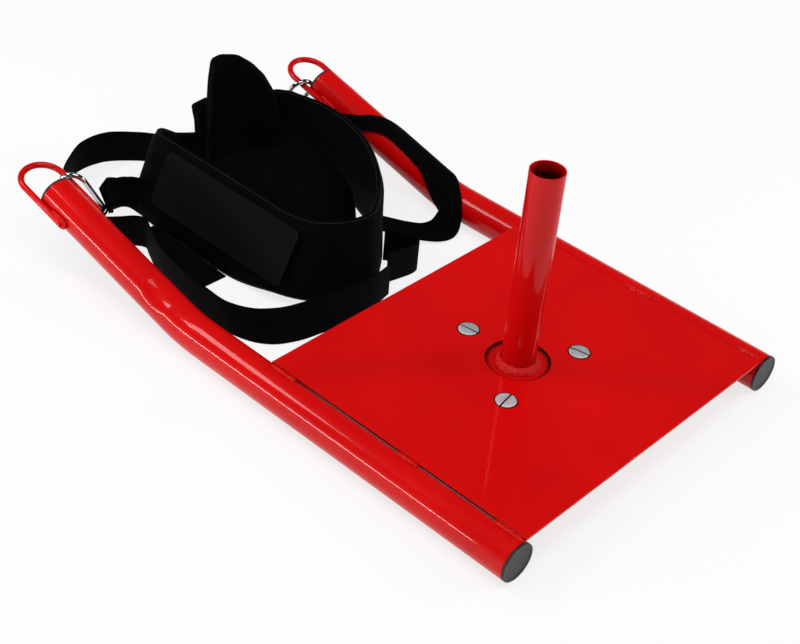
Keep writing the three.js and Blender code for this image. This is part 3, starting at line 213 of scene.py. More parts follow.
def add(tree, kind, sockets=None, **settings):
    """Adds a node: settings are its own properties, and sockets maps an input to a value or to an output."""
    node = tree.nodes.new(kind)
    for key, value in settings.items():
        setattr(node, key, value)
    for key, value in (sockets or {}).items():
        if isinstance(value, bpy.types.NodeSocket):
            tree.links.new(value, node.inputs[key])
        else:
            node.inputs[key].default_value = value
    return node


def maths(tree, operation, *values):
    """A math node over the values, each a number or another node's output."""
    return add(tree, "ShaderNodeMath", dict(enumerate(values)), operation=operation).outputs[0]


def folded(tree, operation, values):
    """Several values taken through one operation, such as their product or the largest of them."""
    return reduce(lambda so_far, value: maths(tree, operation, so_far, value), values)


def noise(tree, place, scale, detail, **more):
    sockets = {"Vector": place, "Scale": scale, "Detail": detail, **more}
    return add(tree, "ShaderNodeTexNoise", sockets).outputs["Fac"]


def wave(tree, distance, pitch_mm):
    """The sine of a distance in metres, one turn for each pitch."""
    return maths(tree, "SINE", maths(tree, "MULTIPLY", distance, 2 * math.pi / (pitch_mm * MM)))


def mapped(tree, value, low, high, to_low=0.0, to_high=1.0):
    """A value that runs from low to high, clamped, made to run from to_low to to_high."""
    sockets = {"Value": value, "From Min": low, "From Max": high, "To Min": to_low, "To Max": to_high}
    return add(tree, "ShaderNodeMapRange", sockets).outputs["Result"]


def share_between(tree, value, zero_mm, one_mm):
    """A clamped share that is 0 at one size and 1 at the other, both in millimetres."""
    return mapped(tree, value, zero_mm * MM, one_mm * MM)


def axes_of(tree, vector):
    return list(add(tree, "ShaderNodeSeparateXYZ", {"Vector": vector}).outputs)


def mixed(tree, share, colour, code):
    """A colour changed to another one by a share."""
    return add(tree, "ShaderNodeMix", {0: share, 6: colour, 7: linear(code)}, data_type="RGBA").outputs[2]


def ramp(tree, factor, low, high, dark, light):
    """A ramp from a dark to a light colour, as factor goes from low to high."""
    node = add(tree, "ShaderNodeValToRGB", {"Fac": factor})
    for element, position, code in zip(node.color_ramp.elements, (low, high), (dark, light)):
        element.position = position
        element.color = linear(code)
    return node.outputs["Color"]


def new_material(name, slot, **sockets):
    """A material with one Principled shader, whose plain numbers are set on its own sockets."""
    material = bpy.data.materials.new(name)
    material.use_nodes = True
    tree = material.node_tree
    shader = tree.nodes["Principled BSDF"]
    for key, value in sockets.items():
        shader.inputs[key.replace("_", " ")].default_value = value
    return material, tree, shader, add(tree, "ShaderNodeTexCoord").outputs["Object"]


def set_colour(tree, shader, colour):
    tree.links.new(colour, shader.inputs["Base Color"])


def emboss(tree, shader, height, strength, depth, also=(), **under):
    """Relief on the shader's normal, and on its other named inputs, depth metres deep."""
    bump = add(tree, "ShaderNodeBump", {"Height": height, "Strength": strength, "Distance": depth, **under})
    for key in ("Normal", *also):
        tree.links.new(bump.outputs["Normal"], shader.inputs[key])


def radius_from(tree, place, spot):
    """Distance of a place from an upright line through spot, whose x and y are sled millimetres."""
    x, y, _ = axes_of(tree, place)
    flat = add(tree, "ShaderNodeCombineXYZ", {"X": x, "Y": y}).outputs[0]
    centre = (spot[0] * MM, (spot[1] + REAR_END) * MM, 0)
    return add(tree, "ShaderNodeVectorMath", {0: flat, 1: centre}, operation="DISTANCE").outputs["Value"]


def painted_recess_shade(tree, place):
    """Painted shade where shadow falls in the recesses: the sunk ring round the post's foot, the post's
    bore below its rim, the rims of the countersinks, and the groove between the deck's long edges
    and the tubes. Each is the product of shares of its own distances."""
    x, y, height = axes_of(tree, place)
    from_post = radius_from(tree, place, POST_FOOT)
    aside = maths(tree, "ABSOLUTE", x)
    post_top, deck_end = DECK_TOP + POST_STAND, REAR_END + DECK_LENGTH
    regions = {
        "sunk ring": ((from_post, DECK_HOLE_RADIUS - 7, DECK_HOLE_RADIUS - 0.5),
                      (from_post, DECK_HOLE_RADIUS + 2, DECK_HOLE_RADIUS + 1),
                      (height, DECK_TOP - 0.1, DECK_TOP - 0.5)),
        "bore": ((from_post, POST_RADIUS - 0.5, POST_RADIUS - 1.2), (height, post_top, post_top - 16)),
        "groove": ((aside, DECK_HALF - 0.6, DECK_HALF - 0.2), (aside, DECK_HALF + 2.8, DECK_HALF + 1.4),
                   (height, DECK_BOTTOM - 2, DECK_BOTTOM - 1), (y, REAR_END, REAR_END + 1),
                   (y, deck_end, deck_end - 1)),
    }
    shares = {name: folded(tree, "MULTIPLY", [share_between(tree, *edge) for edge in edges])
              for name, edges in regions.items()}
    # The painted shade in the groove is a little lighter than in the other recesses
    shares["groove"] = maths(tree, "MULTIPLY", shares["groove"], 0.8)
    rims = [share_between(tree, radius_from(tree, place, screw_spot(angle)),
                          SCREW_HEAD_RADIUS + 1.9, SCREW_HEAD_RADIUS + 1.1) for angle, _ in SCREWS.values()]
    return folded(tree, "MAXIMUM", [*shares.values(), *rims])


def powder_coated_steel(name, with_painted_shade=False, welded=False):
    """Gloss polyester powder coat on steel: a deep even red under a clear skin that flows out to a
    faint orange peel of about 3 mm. Over a weld the skin keeps the bead's roughness."""
    material, tree, shader, place = new_material(name, "red_coat", Roughness=0.32, IOR=1.5, Coat_Weight=0.4,
                                                 Coat_Roughness=0.03, Specular_IOR_Level=0.06)
    colour = ramp(tree, noise(tree, place, 9, 3), 0.35, 0.7, "#C80405", "#D40706")
    # Painted shade: the recesses are mixed towards a near-black red, #160202, where shadow falls
    if with_painted_shade:
        shade_share = maths(tree, "MULTIPLY", painted_recess_shade(tree, place), 0.94)
        colour = mixed(tree, shade_share, colour, "#160202")
    set_colour(tree, shader, colour)
    scale, strength, depth = (620, 0.8, 1.6 * MM) if welded else (330, 0.02, 0.6 * MM)
    emboss(tree, shader, noise(tree, place, scale, 1), strength, depth, also=["Coat Normal"])
    return material


def moulded_plastic():
    """Black moulded polyethylene: a soft sheen over the fine grain that spark erosion leaves in a mould."""
    material, tree, shader, place = new_material("moulded_polyethylene", "cap_plastic", Roughness=0.5,
                                                 IOR=1.5)
    set_colour(tree, shader, ramp(tree, noise(tree, place, 60, 4), 0.3, 0.75, "#131214", "#201F22"))
    emboss(tree, shader, noise(tree, place, 1400, 2), 0.25, 0.3 * MM)
    return material


def zinc_plated_steel(name, with_slot_shade=False):
    """Bright zinc plate on turned steel: a pale, slightly blue metal, a little cloudy, with fine tool
    marks. On the screw heads, what lies under the face, the slot's floor and walls, is painted
    near-black: painted shade in the slot."""
    material, tree, shader, place = new_material(name, "zinc", Metallic=1.0)
    cloud = noise(tree, place, 220, 5)
    colour = ramp(tree, cloud, 0.3, 0.7, "#E2E5EA", "#F9FAFC")
    if with_slot_shade:
        # Painted shade in the slot: everything below the head's face is mixed to near-black, #0B0B0C
        below = share_between(tree, axes_of(tree, place)[2], DECK_TOP + 0.1, DECK_TOP - 0.3)
        colour = mixed(tree, below, colour, "#0B0B0C")
    set_colour(tree, shader, colour)
    tree.links.new(mapped(tree, cloud, 0, 1, 0.55, 0.75), shader.inputs["Roughness"])
    emboss(tree, shader, noise(tree, place, 1800, 1), 0.2, 0.2 * MM)
    return material


def nickel_plated_wire():
    """Nickel plate on drawn steel wire: nearly a mirror, with faint rubs where it turns on the rod."""
    material, tree, shader, place = new_material("nickel_plated_wire", "hook_steel", Metallic=1.0)
    cloud = noise(tree, place, 120, 5)
    set_colour(tree, shader, ramp(tree, cloud, 0.35, 0.7, "#B9BABB", "#DDDDDC"))
    tree.links.new(mapped(tree, cloud, 0, 1, 0.06, 0.24), shader.inputs["Roughness"])
    return material


def woven(name, slot, dark, light, across_mm, along_mm, depth_mm, sheen=0.0):
    """Cloth woven on its own length and width, which the UV map gives in metres. Two waves at right
    angles, across_mm and along_mm apart, cross as over and under: height follows their product. The
    colour follows the height times a random tone: painted sheen on the threads that lie over, painted
    shade on those under.
    The coarse thread spacing is twice the real one, so that it still shows in a picture."""
    material, tree, shader, place = new_material(name, slot, Roughness=0.88, IOR=1.45, Sheen_Weight=sheen,
                                                 Sheen_Roughness=0.4, Specular_IOR_Level=0.08)
    u, v, _ = axes_of(tree, add(tree, "ShaderNodeUVMap", uv_map="cloth").outputs["UV"])
    product = maths(tree, "MULTIPLY", wave(tree, u, across_mm), wave(tree, v, along_mm))
    over = mapped(tree, product, -1, 1)
    height = maths(tree, "MULTIPLY_ADD", noise(tree, place, 900, 3), 0.25, over)
    # Painted sheen and shade: the colour is lighter where threads lie over and darker where they lie under,
    # times a random tone
    tone_and_painted_sheen = maths(tree, "MULTIPLY", noise(tree, place, 30, 4), height)
    set_colour(tree, shader, ramp(tree, tone_and_painted_sheen, 0.05, 0.75, dark, light))
    emboss(tree, shader, height, 0.9, depth_mm * MM)
    return material


def ribbed_band_cloth():
    """Brushed elastic band: cords across the band, each a rectified sine of the distance along it as
    the mesh has them, crossed by finer yarns. The colour is pale on the crests and near-black in the
    valleys: painted light on the crests and painted shade between the cords."""
    material, tree, shader, _ = new_material("ribbed_elastic_band", "ribbed_band", Roughness=0.85, IOR=1.45,
                                             Specular_IOR_Level=0.1)
    u, v, _ = axes_of(tree, add(tree, "ShaderNodeUVMap", uv_map="cloth").outputs["UV"])
    crest = maths(tree, "ABSOLUTE", wave(tree, v, 2 * RIB_PITCH))
    height = maths(tree, "MULTIPLY_ADD", wave(tree, u, 1.5), 0.2, crest)
    # Painted light and shade: pale on the rib crests, near-black in the valleys between them
    set_colour(tree, shader, ramp(tree, height, 0.5, 1, "#010101", "#161617"))
    emboss(tree, shader, height, 0.7, 0.4 * MM)
    return material


def sewing_thread():
    """Bonded polyester thread: two plies twisted, a little shinier and paler than the cloth it sews."""
    material, tree, shader, place = new_material("bonded_polyester_thread", "padding", Roughness=0.55,
                                                 IOR=1.5, Sheen_Weight=0.05)
    twist = noise(tree, place, 700, 2)
    set_colour(tree, shader, ramp(tree, twist, 0.3, 0.7, "#0A0A0B", "#1E1E20"))
    emboss(tree, shader, twist, 0.4, 0.3 * MM)
    return material


def nylon_cover():
    """Plain-woven nylon pack cloth over foam: matt near-black, with fine threads that follow the three
    directions of the object, and long soft creases where the foam is folded."""
    material, tree, shader, place = new_material("nylon_pack_cloth", "padding", Roughness=0.9, IOR=1.45,
                                                 Specular_IOR_Level=0.08)
    threads = folded(tree, "ADD", [wave(tree, axis, 1.4) for axis in axes_of(tree, place)])
    height = maths(tree, "MULTIPLY_ADD", noise(tree, place, 800, 3), 1.2, threads)
    set_colour(tree, shader, ramp(tree, noise(tree, place, 18, 4), 0.35, 0.7, "#010101", "#030303"))
    fine = add(tree, "ShaderNodeBump", {"Height": height, "Strength": 0.5, "Distance": 0.2 * MM})
    creases = noise(tree, place, 26, 2, Distortion=0.6)
    emboss(tree, shader, creases, 0.35, 6 * MM, Normal=fine.outputs["Normal"])
    return material


red_coat = powder_coated_steel("powder_coated_steel")
# The same coat with painted shade in its sunk ring, bore, countersink rims and groove
shaded_red_coat = powder_coated_steel("powder_coated_steel_painted_shade", with_painted_shade=True)
# The same coat over the rough skin of a weld
weld_coat = powder_coated_steel("powder_coated_weld", welded=True)
cap_plastic = moulded_plastic()
zinc = zinc_plated_steel("zinc_plated_steel")
slot_shaded_zinc = zinc_plated_steel("zinc_plated_screw_head", with_slot_shade=True)
nickel = nickel_plated_wire()
# Polypropylene webbing: rows of ribs along the strap, a dull shine on each, partly from the shader and partly
# painted as a lighter top
webbing = woven("polypropylene_webbing", "webbing", "#010101", "#050506", 2.4, 2.0, 0.35)
# Hook-and-loop backing band: fine cords across the band, a shade lighter than the pads
ribbed_cloth = ribbed_band_cloth()
pad_cloth = nylon_cover()
# Woven tape folded over a cord along the pads' edges
binding = woven("nylon_binding_tape", "padding", "#030303", "#0C0C0D", 1.2, 1.6, 0.2, 0.03)
thread = sewing_thread()
belt_cloth = woven("nylon_belt_cover", "padding", "#010101", "#040404", 1.6, 1.6, 0.25)


# Meshes from grids of points


def grid_faces(row_count, column_count, loop_rows, loop_columns):
    """Quads between neighbouring points of a grid, round its loops where it has them."""
    i = np.arange(row_count if loop_rows else row_count - 1)[:, None]
    j = np.arange(column_count if loop_columns else column_count - 1)[None, :]
    i_next, j_next = (i + 1) % row_count, (j + 1) % column_count
    corners = [i * column_count + j, i * column_count + j_next,
               i_next * column_count + j_next, i_next * column_count + j]
    return np.stack(corners, -1).reshape(-1, 4)


def volume_sign(points, faces):
    """Sum of the signed volumes of each quad's two triangles with the mesh's own middle."""
    p = points - points.mean(0)
    a, b, c, d = (p[faces[:, k]] for k in range(4))
    return float((np.cross(a, b) * c).sum() + (np.cross(a, c) * d).sum())


def new_mesh(name, points, faces):
    """A mesh of points in sled millimetres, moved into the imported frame."""
    mesh = bpy.data.meshes.new(name)
    mesh.from_pydata(((points + REAR_END * Y) * MM).tolist(), [], faces)
    return mesh


def baked(holder):
    """An object's shape with its modifiers, as a mesh of its own."""
    bpy.context.view_layer.update()
    return bpy.data.meshes.new_from_object(holder.evaluated_get(bpy.context.evaluated_depsgraph_get()))


def finish_piece(name, mesh, material, body="sled", replaces=(), sharp=35):
    """Links a mesh as a piece: smooth but for edges over the sharp angle, riding on its body."""
    mesh.shade_smooth()
    mesh.set_sharp_from_angle(angle=math.radians(sharp))
    mesh.materials.clear()
    mesh.materials.append(material)
    piece = linked(name, mesh)
    if body:
        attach(piece, body)
    if replaces:
        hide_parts(*replaces)
    return piece


def surface_mesh(name, grid, loop_rows=False, across=None, along=None):
    """A closed mesh through a grid of points, one closed row after another. With no loop of rows, a fan
    closes each end. across and along give each column's and row's place on the cloth, in mm."""
    grid = np.asarray(grid, float)
    row_count, column_count = grid.shape[:2]
    points = grid.reshape(-1, 3)
    faces = grid_faces(row_count, column_count, loop_rows, True)
    fans = np.zeros((0, 4), int)
    if not loop_rows:
        ends = [np.arange(column_count)[::-1], np.arange(column_count) + (row_count - 1) * column_count]
        hubs = [points[ring].mean(0) for ring in ends]
        hub_indices = [np.full(column_count, len(points) + k) for k in range(2)]
        fans = np.concatenate([np.stack([ring, np.roll(ring, -1), hub, hub], -1)
                               for ring, hub in zip(ends, hub_indices)])
        points = np.concatenate([points, hubs])
    inward = volume_sign(points, np.concatenate([faces, fans])) < 0
    lists = [tuple(f) for f in faces.tolist()] + [tuple(f[:3]) for f in fans.tolist()]
    if inward:
        lists = [f[::-1] for f in lists]
    mesh = new_mesh(name, points, lists)
    if along is not None:
        lay_cloth(mesh, faces, column_count, across, along, inward)
    return mesh


def surface(name, grid, material, body="sled", replaces=(), sharp=35, **layout):
    """A piece whose mesh is a closed surface through a grid of points."""
    return finish_piece(name, surface_mesh(name, grid, **layout), material, body, replaces, sharp)


def lay_cloth(mesh, faces, column_count, across, along, inward):
    """Writes the UV map named cloth: u is the place across the cloth and v along it, in metres."""
    u = np.append(np.asarray(across, float), 2 * across[-1] - across[-2]) * MM
    v = np.append(np.asarray(along, float), 2 * along[-1] - along[-2]) * MM
    i, j = faces[:, 0] // column_count, faces[:, 0] % column_count
    corners = np.stack([np.stack([u[j + a], v[i + b]], -1) for a, b in ((0, 0), (1, 0), (1, 1), (0, 1))], 1)
    if inward:
        corners = corners[:, ::-1]
    values = np.zeros((len(mesh.loops), 2))
    values[:corners.shape[0] * 4] = corners.reshape(-1, 2)
    mesh.uv_layers.new(name="cloth").data.foreach_set("uv", values.ravel())


def arc_lengths(points):
    """How far each point of a line is along it."""
    steps = np.linalg.norm(np.diff(points, axis=0), axis=-1)
    return np.concatenate([[0], np.cumsum(steps)])


def places_on(line, distance, places):
    """Points of a line at given distances along it."""
    return np.stack([np.interp(places, distance, line[:, k]) for k in range(3)], -1)


def even_loop(line, count):
    """Evenly spaced points round a closed line."""
    closed = np.concatenate([line, line[:1]])
    distance = arc_lengths(closed)
    return places_on(closed, distance, np.linspace(0, distance[-1], count, endpoint=False))


def closed_smooth(line, count, cut=0.18):
    """Evenly spaced points round a closed line, with its corners cut off twice by a share of each side."""
    for _ in range(2):
        following = np.roll(line, -1, axis=0)
        pairs = np.stack([(1 - cut) * line + cut * following, cut * line + (1 - cut) * following], 1)
        line = pairs.reshape(-1, 3)
    return even_loop(line, count)


def turned(profile, start, axis, sides):
    """A turned shape: each profile point [along, radius] swept round the axis. A ring of rows."""
    axis = unit(axis)
    first = unit(np.cross(axis, Z if abs(axis[2]) < 0.9 else X))
    ring = circle(1, sides) @ np.stack([first, np.cross(axis, first)])
    profile = np.asarray(profile, float)
    return start + profile[:, :1, None] * axis + profile[:, 1, None, None] * ring


def rounded(profile, radius):
    """A profile line with each inner corner replaced by a quarter-like arc of that radius: five points
    of a quadratic curve from radius before the corner, by it, to radius after it."""
    profile = [np.asarray(p, float) for p in profile]
    made = [profile[0]]
    t = np.linspace(0, 1, 5)[:, None]
    for before, corner, after in zip(profile, profile[1:], profile[2:]):
        reach = min(radius, np.linalg.norm(before - corner) * 0.49, np.linalg.norm(after - corner) * 0.49)
        a, b = (corner + unit(p - corner) * reach for p in (before, after))
        made.extend((1 - t) ** 2 * a + 2 * t * (1 - t) * corner + t ** 2 * b)
    return np.array([*made, profile[-1]])


def smooth(points, steps):
    """A centripetal Catmull-Rom curve through the points, at steps + 1 even places of its parameter."""
    points = np.asarray(points, float)
    ends = [2 * points[0] - points[1], 2 * points[-1] - points[-2]]
    padded = np.concatenate([ends[:1], points, ends[1:]])
    place = np.linspace(0, len(points) - 1, steps + 1)
    index = np.minimum(place.astype(int), len(points) - 2)
    w = (place - index)[:, None]
    p0, p1, p2, p3 = (padded[index + k] for k in range(4))
    gap = [np.maximum(((b - a) ** 2).sum(-1, keepdims=True) ** 0.25, 1e-4)
           for a, b in ((p0, p1), (p1, p2), (p2, p3))]
    gap[1] = np.where(gap[1] < 1.1e-4, 1, gap[1])
    gap[0] = np.where(gap[0] < 1.1e-4, gap[1], gap[0])
    gap[2] = np.where(gap[2] < 1.1e-4, gap[1], gap[2])
    t1 = ((p1 - p0) / gap[0] - (p2 - p0) / (gap[0] + gap[1]) + (p2 - p1) / gap[1]) * gap[1]
    t2 = ((p2 - p1) / gap[1] - (p3 - p1) / (gap[1] + gap[2]) + (p3 - p2) / gap[2]) * gap[1]
    c2 = -3 * p1 + 3 * p2 - 2 * t1 - t2
    c3 = 2 * p1 - 2 * p2 + t1 + t2
    return p1 + w * (t1 + w * (c2 + w * c3))


def sweep(middles, first, second, ring):
    """A profile ring [f, s] carried along a path: middle + first * f + second * s."""
    ring = np.asarray(ring, float)
    first, second = (np.broadcast_to(side, middles.shape)[:, None] for side in (first, second))
    return middles[:, None] + ring[..., :1] * first + ring[..., 1:] * second


def circle(radius, sides):
    """Points of a circle as [cosine, sine] times its radius."""
    angle = np.linspace(0, 2 * math.pi, sides, endpoint=False)
    return radius * np.stack([np.cos(angle), np.sin(angle)], -1)


def tapered(radii, sides):
    """One circle for each radius."""
    return np.asarray(radii)[:, None, None] * circle(1, sides)


def above_floor(grid):
    """A grid with no point under the floor gap."""
    grid[..., 2] = np.maximum(grid[..., 2], FLOOR_GAP)
    return grid


# Runner tubes


def axis_places(s):
    """Places along a runner's axis and its lean there. s counts from the corner of the bend. Before the
    bend the axis is level, over the bend it is an arc, and past it a straight rise."""
    tangent = BEND_RADIUS * math.tan(RISE / 2)
    s = np.asarray(s, float)
    lean = np.clip((s + tangent) / (2 * tangent), 0, 1) * RISE
    before, after = np.minimum(s + tangent, 0), np.maximum(s - tangent, 0)
    y = REAR_LENGTH - tangent + BEND_RADIUS * np.sin(lean) + before + after * math.cos(RISE)
    z = TUBE_RADIUS + BEND_RADIUS * (1 - np.cos(lean)) + after * math.sin(RISE)
    return y, z, lean


def runner(side):
    """Outer and inner wall of a bent tube: radius is even but for a shallow flat that the press tool
    left just past the bend, as deep as (1 - along squared) times (1 - around squared)."""
    s = np.unique(np.concatenate([
        np.linspace(-REAR_LENGTH, -60, 24), np.linspace(-30, 30, 25),
        np.linspace(DENT_PAST_BEND - DENT_REACH - 6, DENT_PAST_BEND + DENT_REACH + 6, 41),
        np.linspace(DENT_PAST_BEND + DENT_REACH + 10, FRONT_LENGTH, 10)]))
    y, z, lean = axis_places(s)
    around = np.linspace(0, 2 * math.pi, 96, endpoint=False)
    away = (around - math.pi / 2 + side * DENT_TURN) / DENT_SPREAD
    reach = (s - DENT_PAST_BEND) / DENT_REACH
    dent = DENT_DEPTH * np.clip(1 - reach ** 2, 0, 1)[:, None] * np.clip(1 - away ** 2, 0, 1)
    normal = np.stack([0 * lean, -np.sin(lean), np.cos(lean)], -1)
    middle = np.stack([np.full_like(y, side * TRACK_HALF), y, z], -1)
    ring = np.cos(around)[:, None] * X + np.sin(around)[:, None] * normal[:, None]
    outer, inner = (middle[:, None] + (radius - dent)[..., None] * ring
                    for radius in (TUBE_RADIUS, TUBE_RADIUS - TUBE_WALL))
    return np.concatenate([outer, inner[::-1]])


def cap(end, outward):
    """A tube cap: a rounded flange with a dished face, and a ribbed plug in the bore."""
    flange, bore = TUBE_RADIUS - 0.1, TUBE_RADIUS - TUBE_WALL - FIT_GAP
    core = bore - 1.2
    profile = [[0.3, core - 3], [-16, core - 3], [-16, core], [-12, core], [-10.5, bore], [-9, core],
               [-6, core], [-4.5, bore], [-3, core], [0.3, core], [0.3, flange], [3.3, flange],
               [3.3, flange - 2.4], [2.3, flange - 4], [2.2, 2]]
    return turned(rounded(profile, 0.8), end, outward, 72)


for label, side in SIDES.items():
    surface(f"runner_{label}", runner(side), shaded_red_coat, replaces=[f"runner_tube_{label}"],
            loop_rows=True)
    for end, s, outward in (("rear", -REAR_LENGTH, -Y), ("front", FRONT_LENGTH, RUN)):
        y, z, _ = axis_places(s)
        middle = np.array((side * TRACK_HALF, float(y), float(z)))
        surface(f"{end}_plug_{label}", cap(middle, outward), cap_plastic, replaces=[f"{end}_cap_{label}"])


# Deck, flange and fasteners


def plate(name, outline, holes, bottom, top, replaces):
    """A flat plate cut from sheet: its outline and round holes, with the edges eased by a small radius."""
    curve = bpy.data.curves.new(name, "CURVE")
    curve.dimensions = "2D"
    curve.fill_mode = "BOTH"
    curve.extrude = ((top - bottom) / 2 - SHEET_EDGE) * MM
    curve.bevel_depth = SHEET_EDGE * MM
    curve.bevel_resolution = 2
    curve.offset = -SHEET_EDGE * MM
    for line in [outline, *holes]:
        spline = curve.splines.new("POLY")
        spline.points.add(len(line) - 1)
        spline.use_cyclic_u = True
        flat = np.concatenate([line * MM, np.zeros((len(line), 1)), np.ones((len(line), 1))], 1)
        spline.points.foreach_set("co", flat.ravel())
    holder = linked(name, curve)
    mesh = baked(holder)
    bpy.data.objects.remove(holder)
    mesh.name = name
    mesh.transform(Matrix.Translation((0, REAR_END * MM, (top + bottom) / 2 * MM)))
    return finish_piece(name, mesh, shaded_red_coat, replaces=replaces, sharp=50)


def hole_line(middle, radius, sides=48):
    return middle[:2] + circle(radius, sides)


def screw_holes(radius):
    return [hole_line(screw_spot(angle), radius) for angle, _ in SCREWS.values()]


deck_outline = np.array([(-DECK_HALF, 0), (DECK_HALF, 0), (DECK_HALF, DECK_LENGTH),
                         (-DECK_HALF, DECK_LENGTH)], float)
plate("deck_sheet", deck_outline,
      [hole_line(POST_FOOT, DECK_HOLE_RADIUS, 96), *screw_holes(SCREW_HEAD_RADIUS + FIT_GAP)],
      DECK_BOTTOM, DECK_TOP, ["deck_plate"])
plate("flange_disc", hole_line(POST_FOOT, FLANGE_RADIUS, 144), screw_holes(SCREW_HEAD_RADIUS - 3),
      FLANGE_TOP - FLANGE_THICKNESS, FLANGE_TOP, ["post_flange"])


def screw(label, angle, slot):
    """A countersunk screw with a crowned face and a saw slot. The face is a grid of chords along the
    slot: column u runs from -1 to 1 over each chord, and each row is a chord at distance d. Height is
    the crown 1.5 * (1 - 0.55 * r cubed), less a soft rim and the slot's depth between its two walls.
    Below the rim a cone runs down to the shank, in the same closed mesh."""
    radius = SCREW_HEAD_RADIUS - FIT_GAP
    chords, walls = radius * np.cos(np.linspace(0.02, 1.4, 14)), SLOT_HALF + np.array((0.15, 0, -0.02))
    d = np.concatenate([-chords, -walls, walls[::-1], chords[::-1]])
    deep = np.abs(d) < SLOT_HALF - 0.01
    u = np.sin(np.linspace(-math.pi / 2, math.pi / 2, 25))
    x = np.sqrt(np.maximum(radius ** 2 - d ** 2, 0))[:, None] * u
    y = np.broadcast_to(d[:, None], x.shape)
    share = (x ** 2 + y ** 2) / radius ** 2
    crown = 1.5 * (1 - 0.55 * share ** 1.5)
    soft_rim = 0.35 * np.clip((share - 0.9) / 0.1, 0, 1)
    z = crown - soft_rim - SLOT_DEPTH * deep[:, None]
    along = np.array((math.cos(slot), math.sin(slot), 0))
    middle = screw_spot(angle, DECK_TOP)
    face = middle + x[..., None] * along + y[..., None] * np.cross(Z, along) + z[..., None] * Z
    index = np.arange(d.size * u.size).reshape(d.size, u.size)
    ring = np.concatenate([index[0], index[1:, -1], index[-1, -2::-1], index[-2:0:-1, 0]])
    points, faces = face.reshape(-1, 3), grid_faces(d.size, u.size, False, False).tolist()
    rim = points[ring] - middle
    neck = SCREW_SHANK_RADIUS / radius
    for drop, shrink in ((-0.6, 1), (-7, neck), (-12, neck)):
        below = len(points) + np.arange(len(ring))
        faces += np.stack([ring, below, np.roll(below, -1), np.roll(ring, -1)], -1).tolist()
        points = np.concatenate([points, rim * (shrink, shrink, 0) + middle + drop * Z])
        ring = below
    faces.append(ring[::-1].tolist())
    mesh = new_mesh(f"screw_{label}", points, faces)
    mesh.validate()
    finish_piece(f"screw_{label}", mesh, slot_shaded_zinc, replaces=[f"deck_screw_{label}"], sharp=30)


for label, (angle, slot) in SCREWS.items():
    screw(label, angle, slot)
    for part in ("washer", "nut"):
        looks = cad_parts[f"deck_{part}_{label}"].data.materials
        looks.clear()
        looks.append(zinc)


def ripple(distance, pitch, depth):
    """The stacked scallops of a hand-laid weld bead: depth times a power of the rectified sine."""
    return depth * (np.abs(np.sin(math.pi * distance / pitch)) ** 0.7 - 0.6)


def deck_weld(side, span):
    """A stitch weld in the corner between the deck's edge and the tube's round. Its section is a
    bulged wedge whose height follows the ripple, and its ends taper down over one pitch."""
    y = np.linspace(span[0] * DECK_LENGTH, span[1] * DECK_LENGTH, 90)
    from_end = np.minimum(y - y[0], y[-1] - y)
    swell = (np.clip(from_end / 4, 0, 1) ** 0.5)[:, None]
    leg = 6.5
    across = np.linspace(0, 1, 9)
    x = DECK_HALF + FIT_GAP + across * leg * (0.75 + 0.25 * swell)
    under = TUBE_RADIUS + np.sqrt(TUBE_RADIUS ** 2 - (TRACK_HALF - x) ** 2) + WELD_GAP
    hump = np.sin(math.pi * across)
    bulge = np.clip(1 - across, 0, 1) ** 0.8 * (DECK_TOP - 0.25 - under[:, :1]) + 1.1 * hump
    bead = under + (bulge * (0.35 + 0.65 * swell) + ripple(y, 4.2, 0.45)[:, None] * hump)
    flat = side * x, np.broadcast_to(y[:, None], x.shape)
    upper, lower = (np.stack([*flat, z], -1) for z in (np.maximum(bead, under + 0.02), under))
    return np.concatenate([upper, lower[:, ::-1]], 1)


for label, side in SIDES.items():
    for place, span in WELD_SPANS[label].items():
        surface(f"bead_{label}_{place}", deck_weld(side, span), weld_coat,
                replaces=[f"deck_weld_{label}_{place}"], sharp=60)


def post():
    """The weight post: an open tube with a rounded rim, as one closed profile turned round."""
    inner, foot, head = POST_RADIUS - POST_WALL, FLANGE_TOP + WELD_GAP, DECK_TOP + POST_STAND
    outer_line = rounded([[foot, POST_RADIUS], [head, POST_RADIUS], [head, inner], [foot, inner]], 0.7)
    return turned(outer_line, POST_FOOT, Z, 96)


def post_weld():
    """A fillet weld round the post's foot: a wedge section turned round, whose legs swell and shrink by a
    sum of sines of the angle that never quite repeats."""
    leg = 7.6
    angle = np.linspace(0, 2 * math.pi, 240, endpoint=False)
    uneven = (np.sin(angle * 19 + 1.4 * np.sin(3 * angle)) + 0.6 * np.sin(angle * 7 + 2)
              + 0.4 * np.sin(angle * 41 + 2 * np.sin(5 * angle)))
    reach = leg * (1 + 0.05 * uneven)[:, None]
    t = np.linspace(0, 1, 9)
    hump = np.append(np.sin(math.pi * t), 0) * 0.9
    r = POST_RADIUS + 2 * FIT_GAP + reach * np.append(1 - t, 0) + hump
    z = FLANGE_TOP + WELD_GAP + reach * np.append(t, 0) + hump
    ring = np.stack([np.cos(angle), np.sin(angle), 0 * angle], -1)
    return POST_FOOT + r[..., None] * ring[:, None] + z[..., None] * Z


surface("plate_post", post(), shaded_red_coat, replaces=["weight_post"], loop_rows=True)
surface("post_bead", post_weld(), weld_coat, replaces=["post_weld"], loop_rows=True, sharp=60)


# Tow loops


def on_run(side, across, s):
    """A place ahead of the bend: across the runner from its axis, and s along it."""
    corner = np.array((side * TRACK_HALF, REAR_LENGTH, TUBE_RADIUS))
    return corner + np.multiply.outer(across, X) + np.multiply.outer(s, RUN)


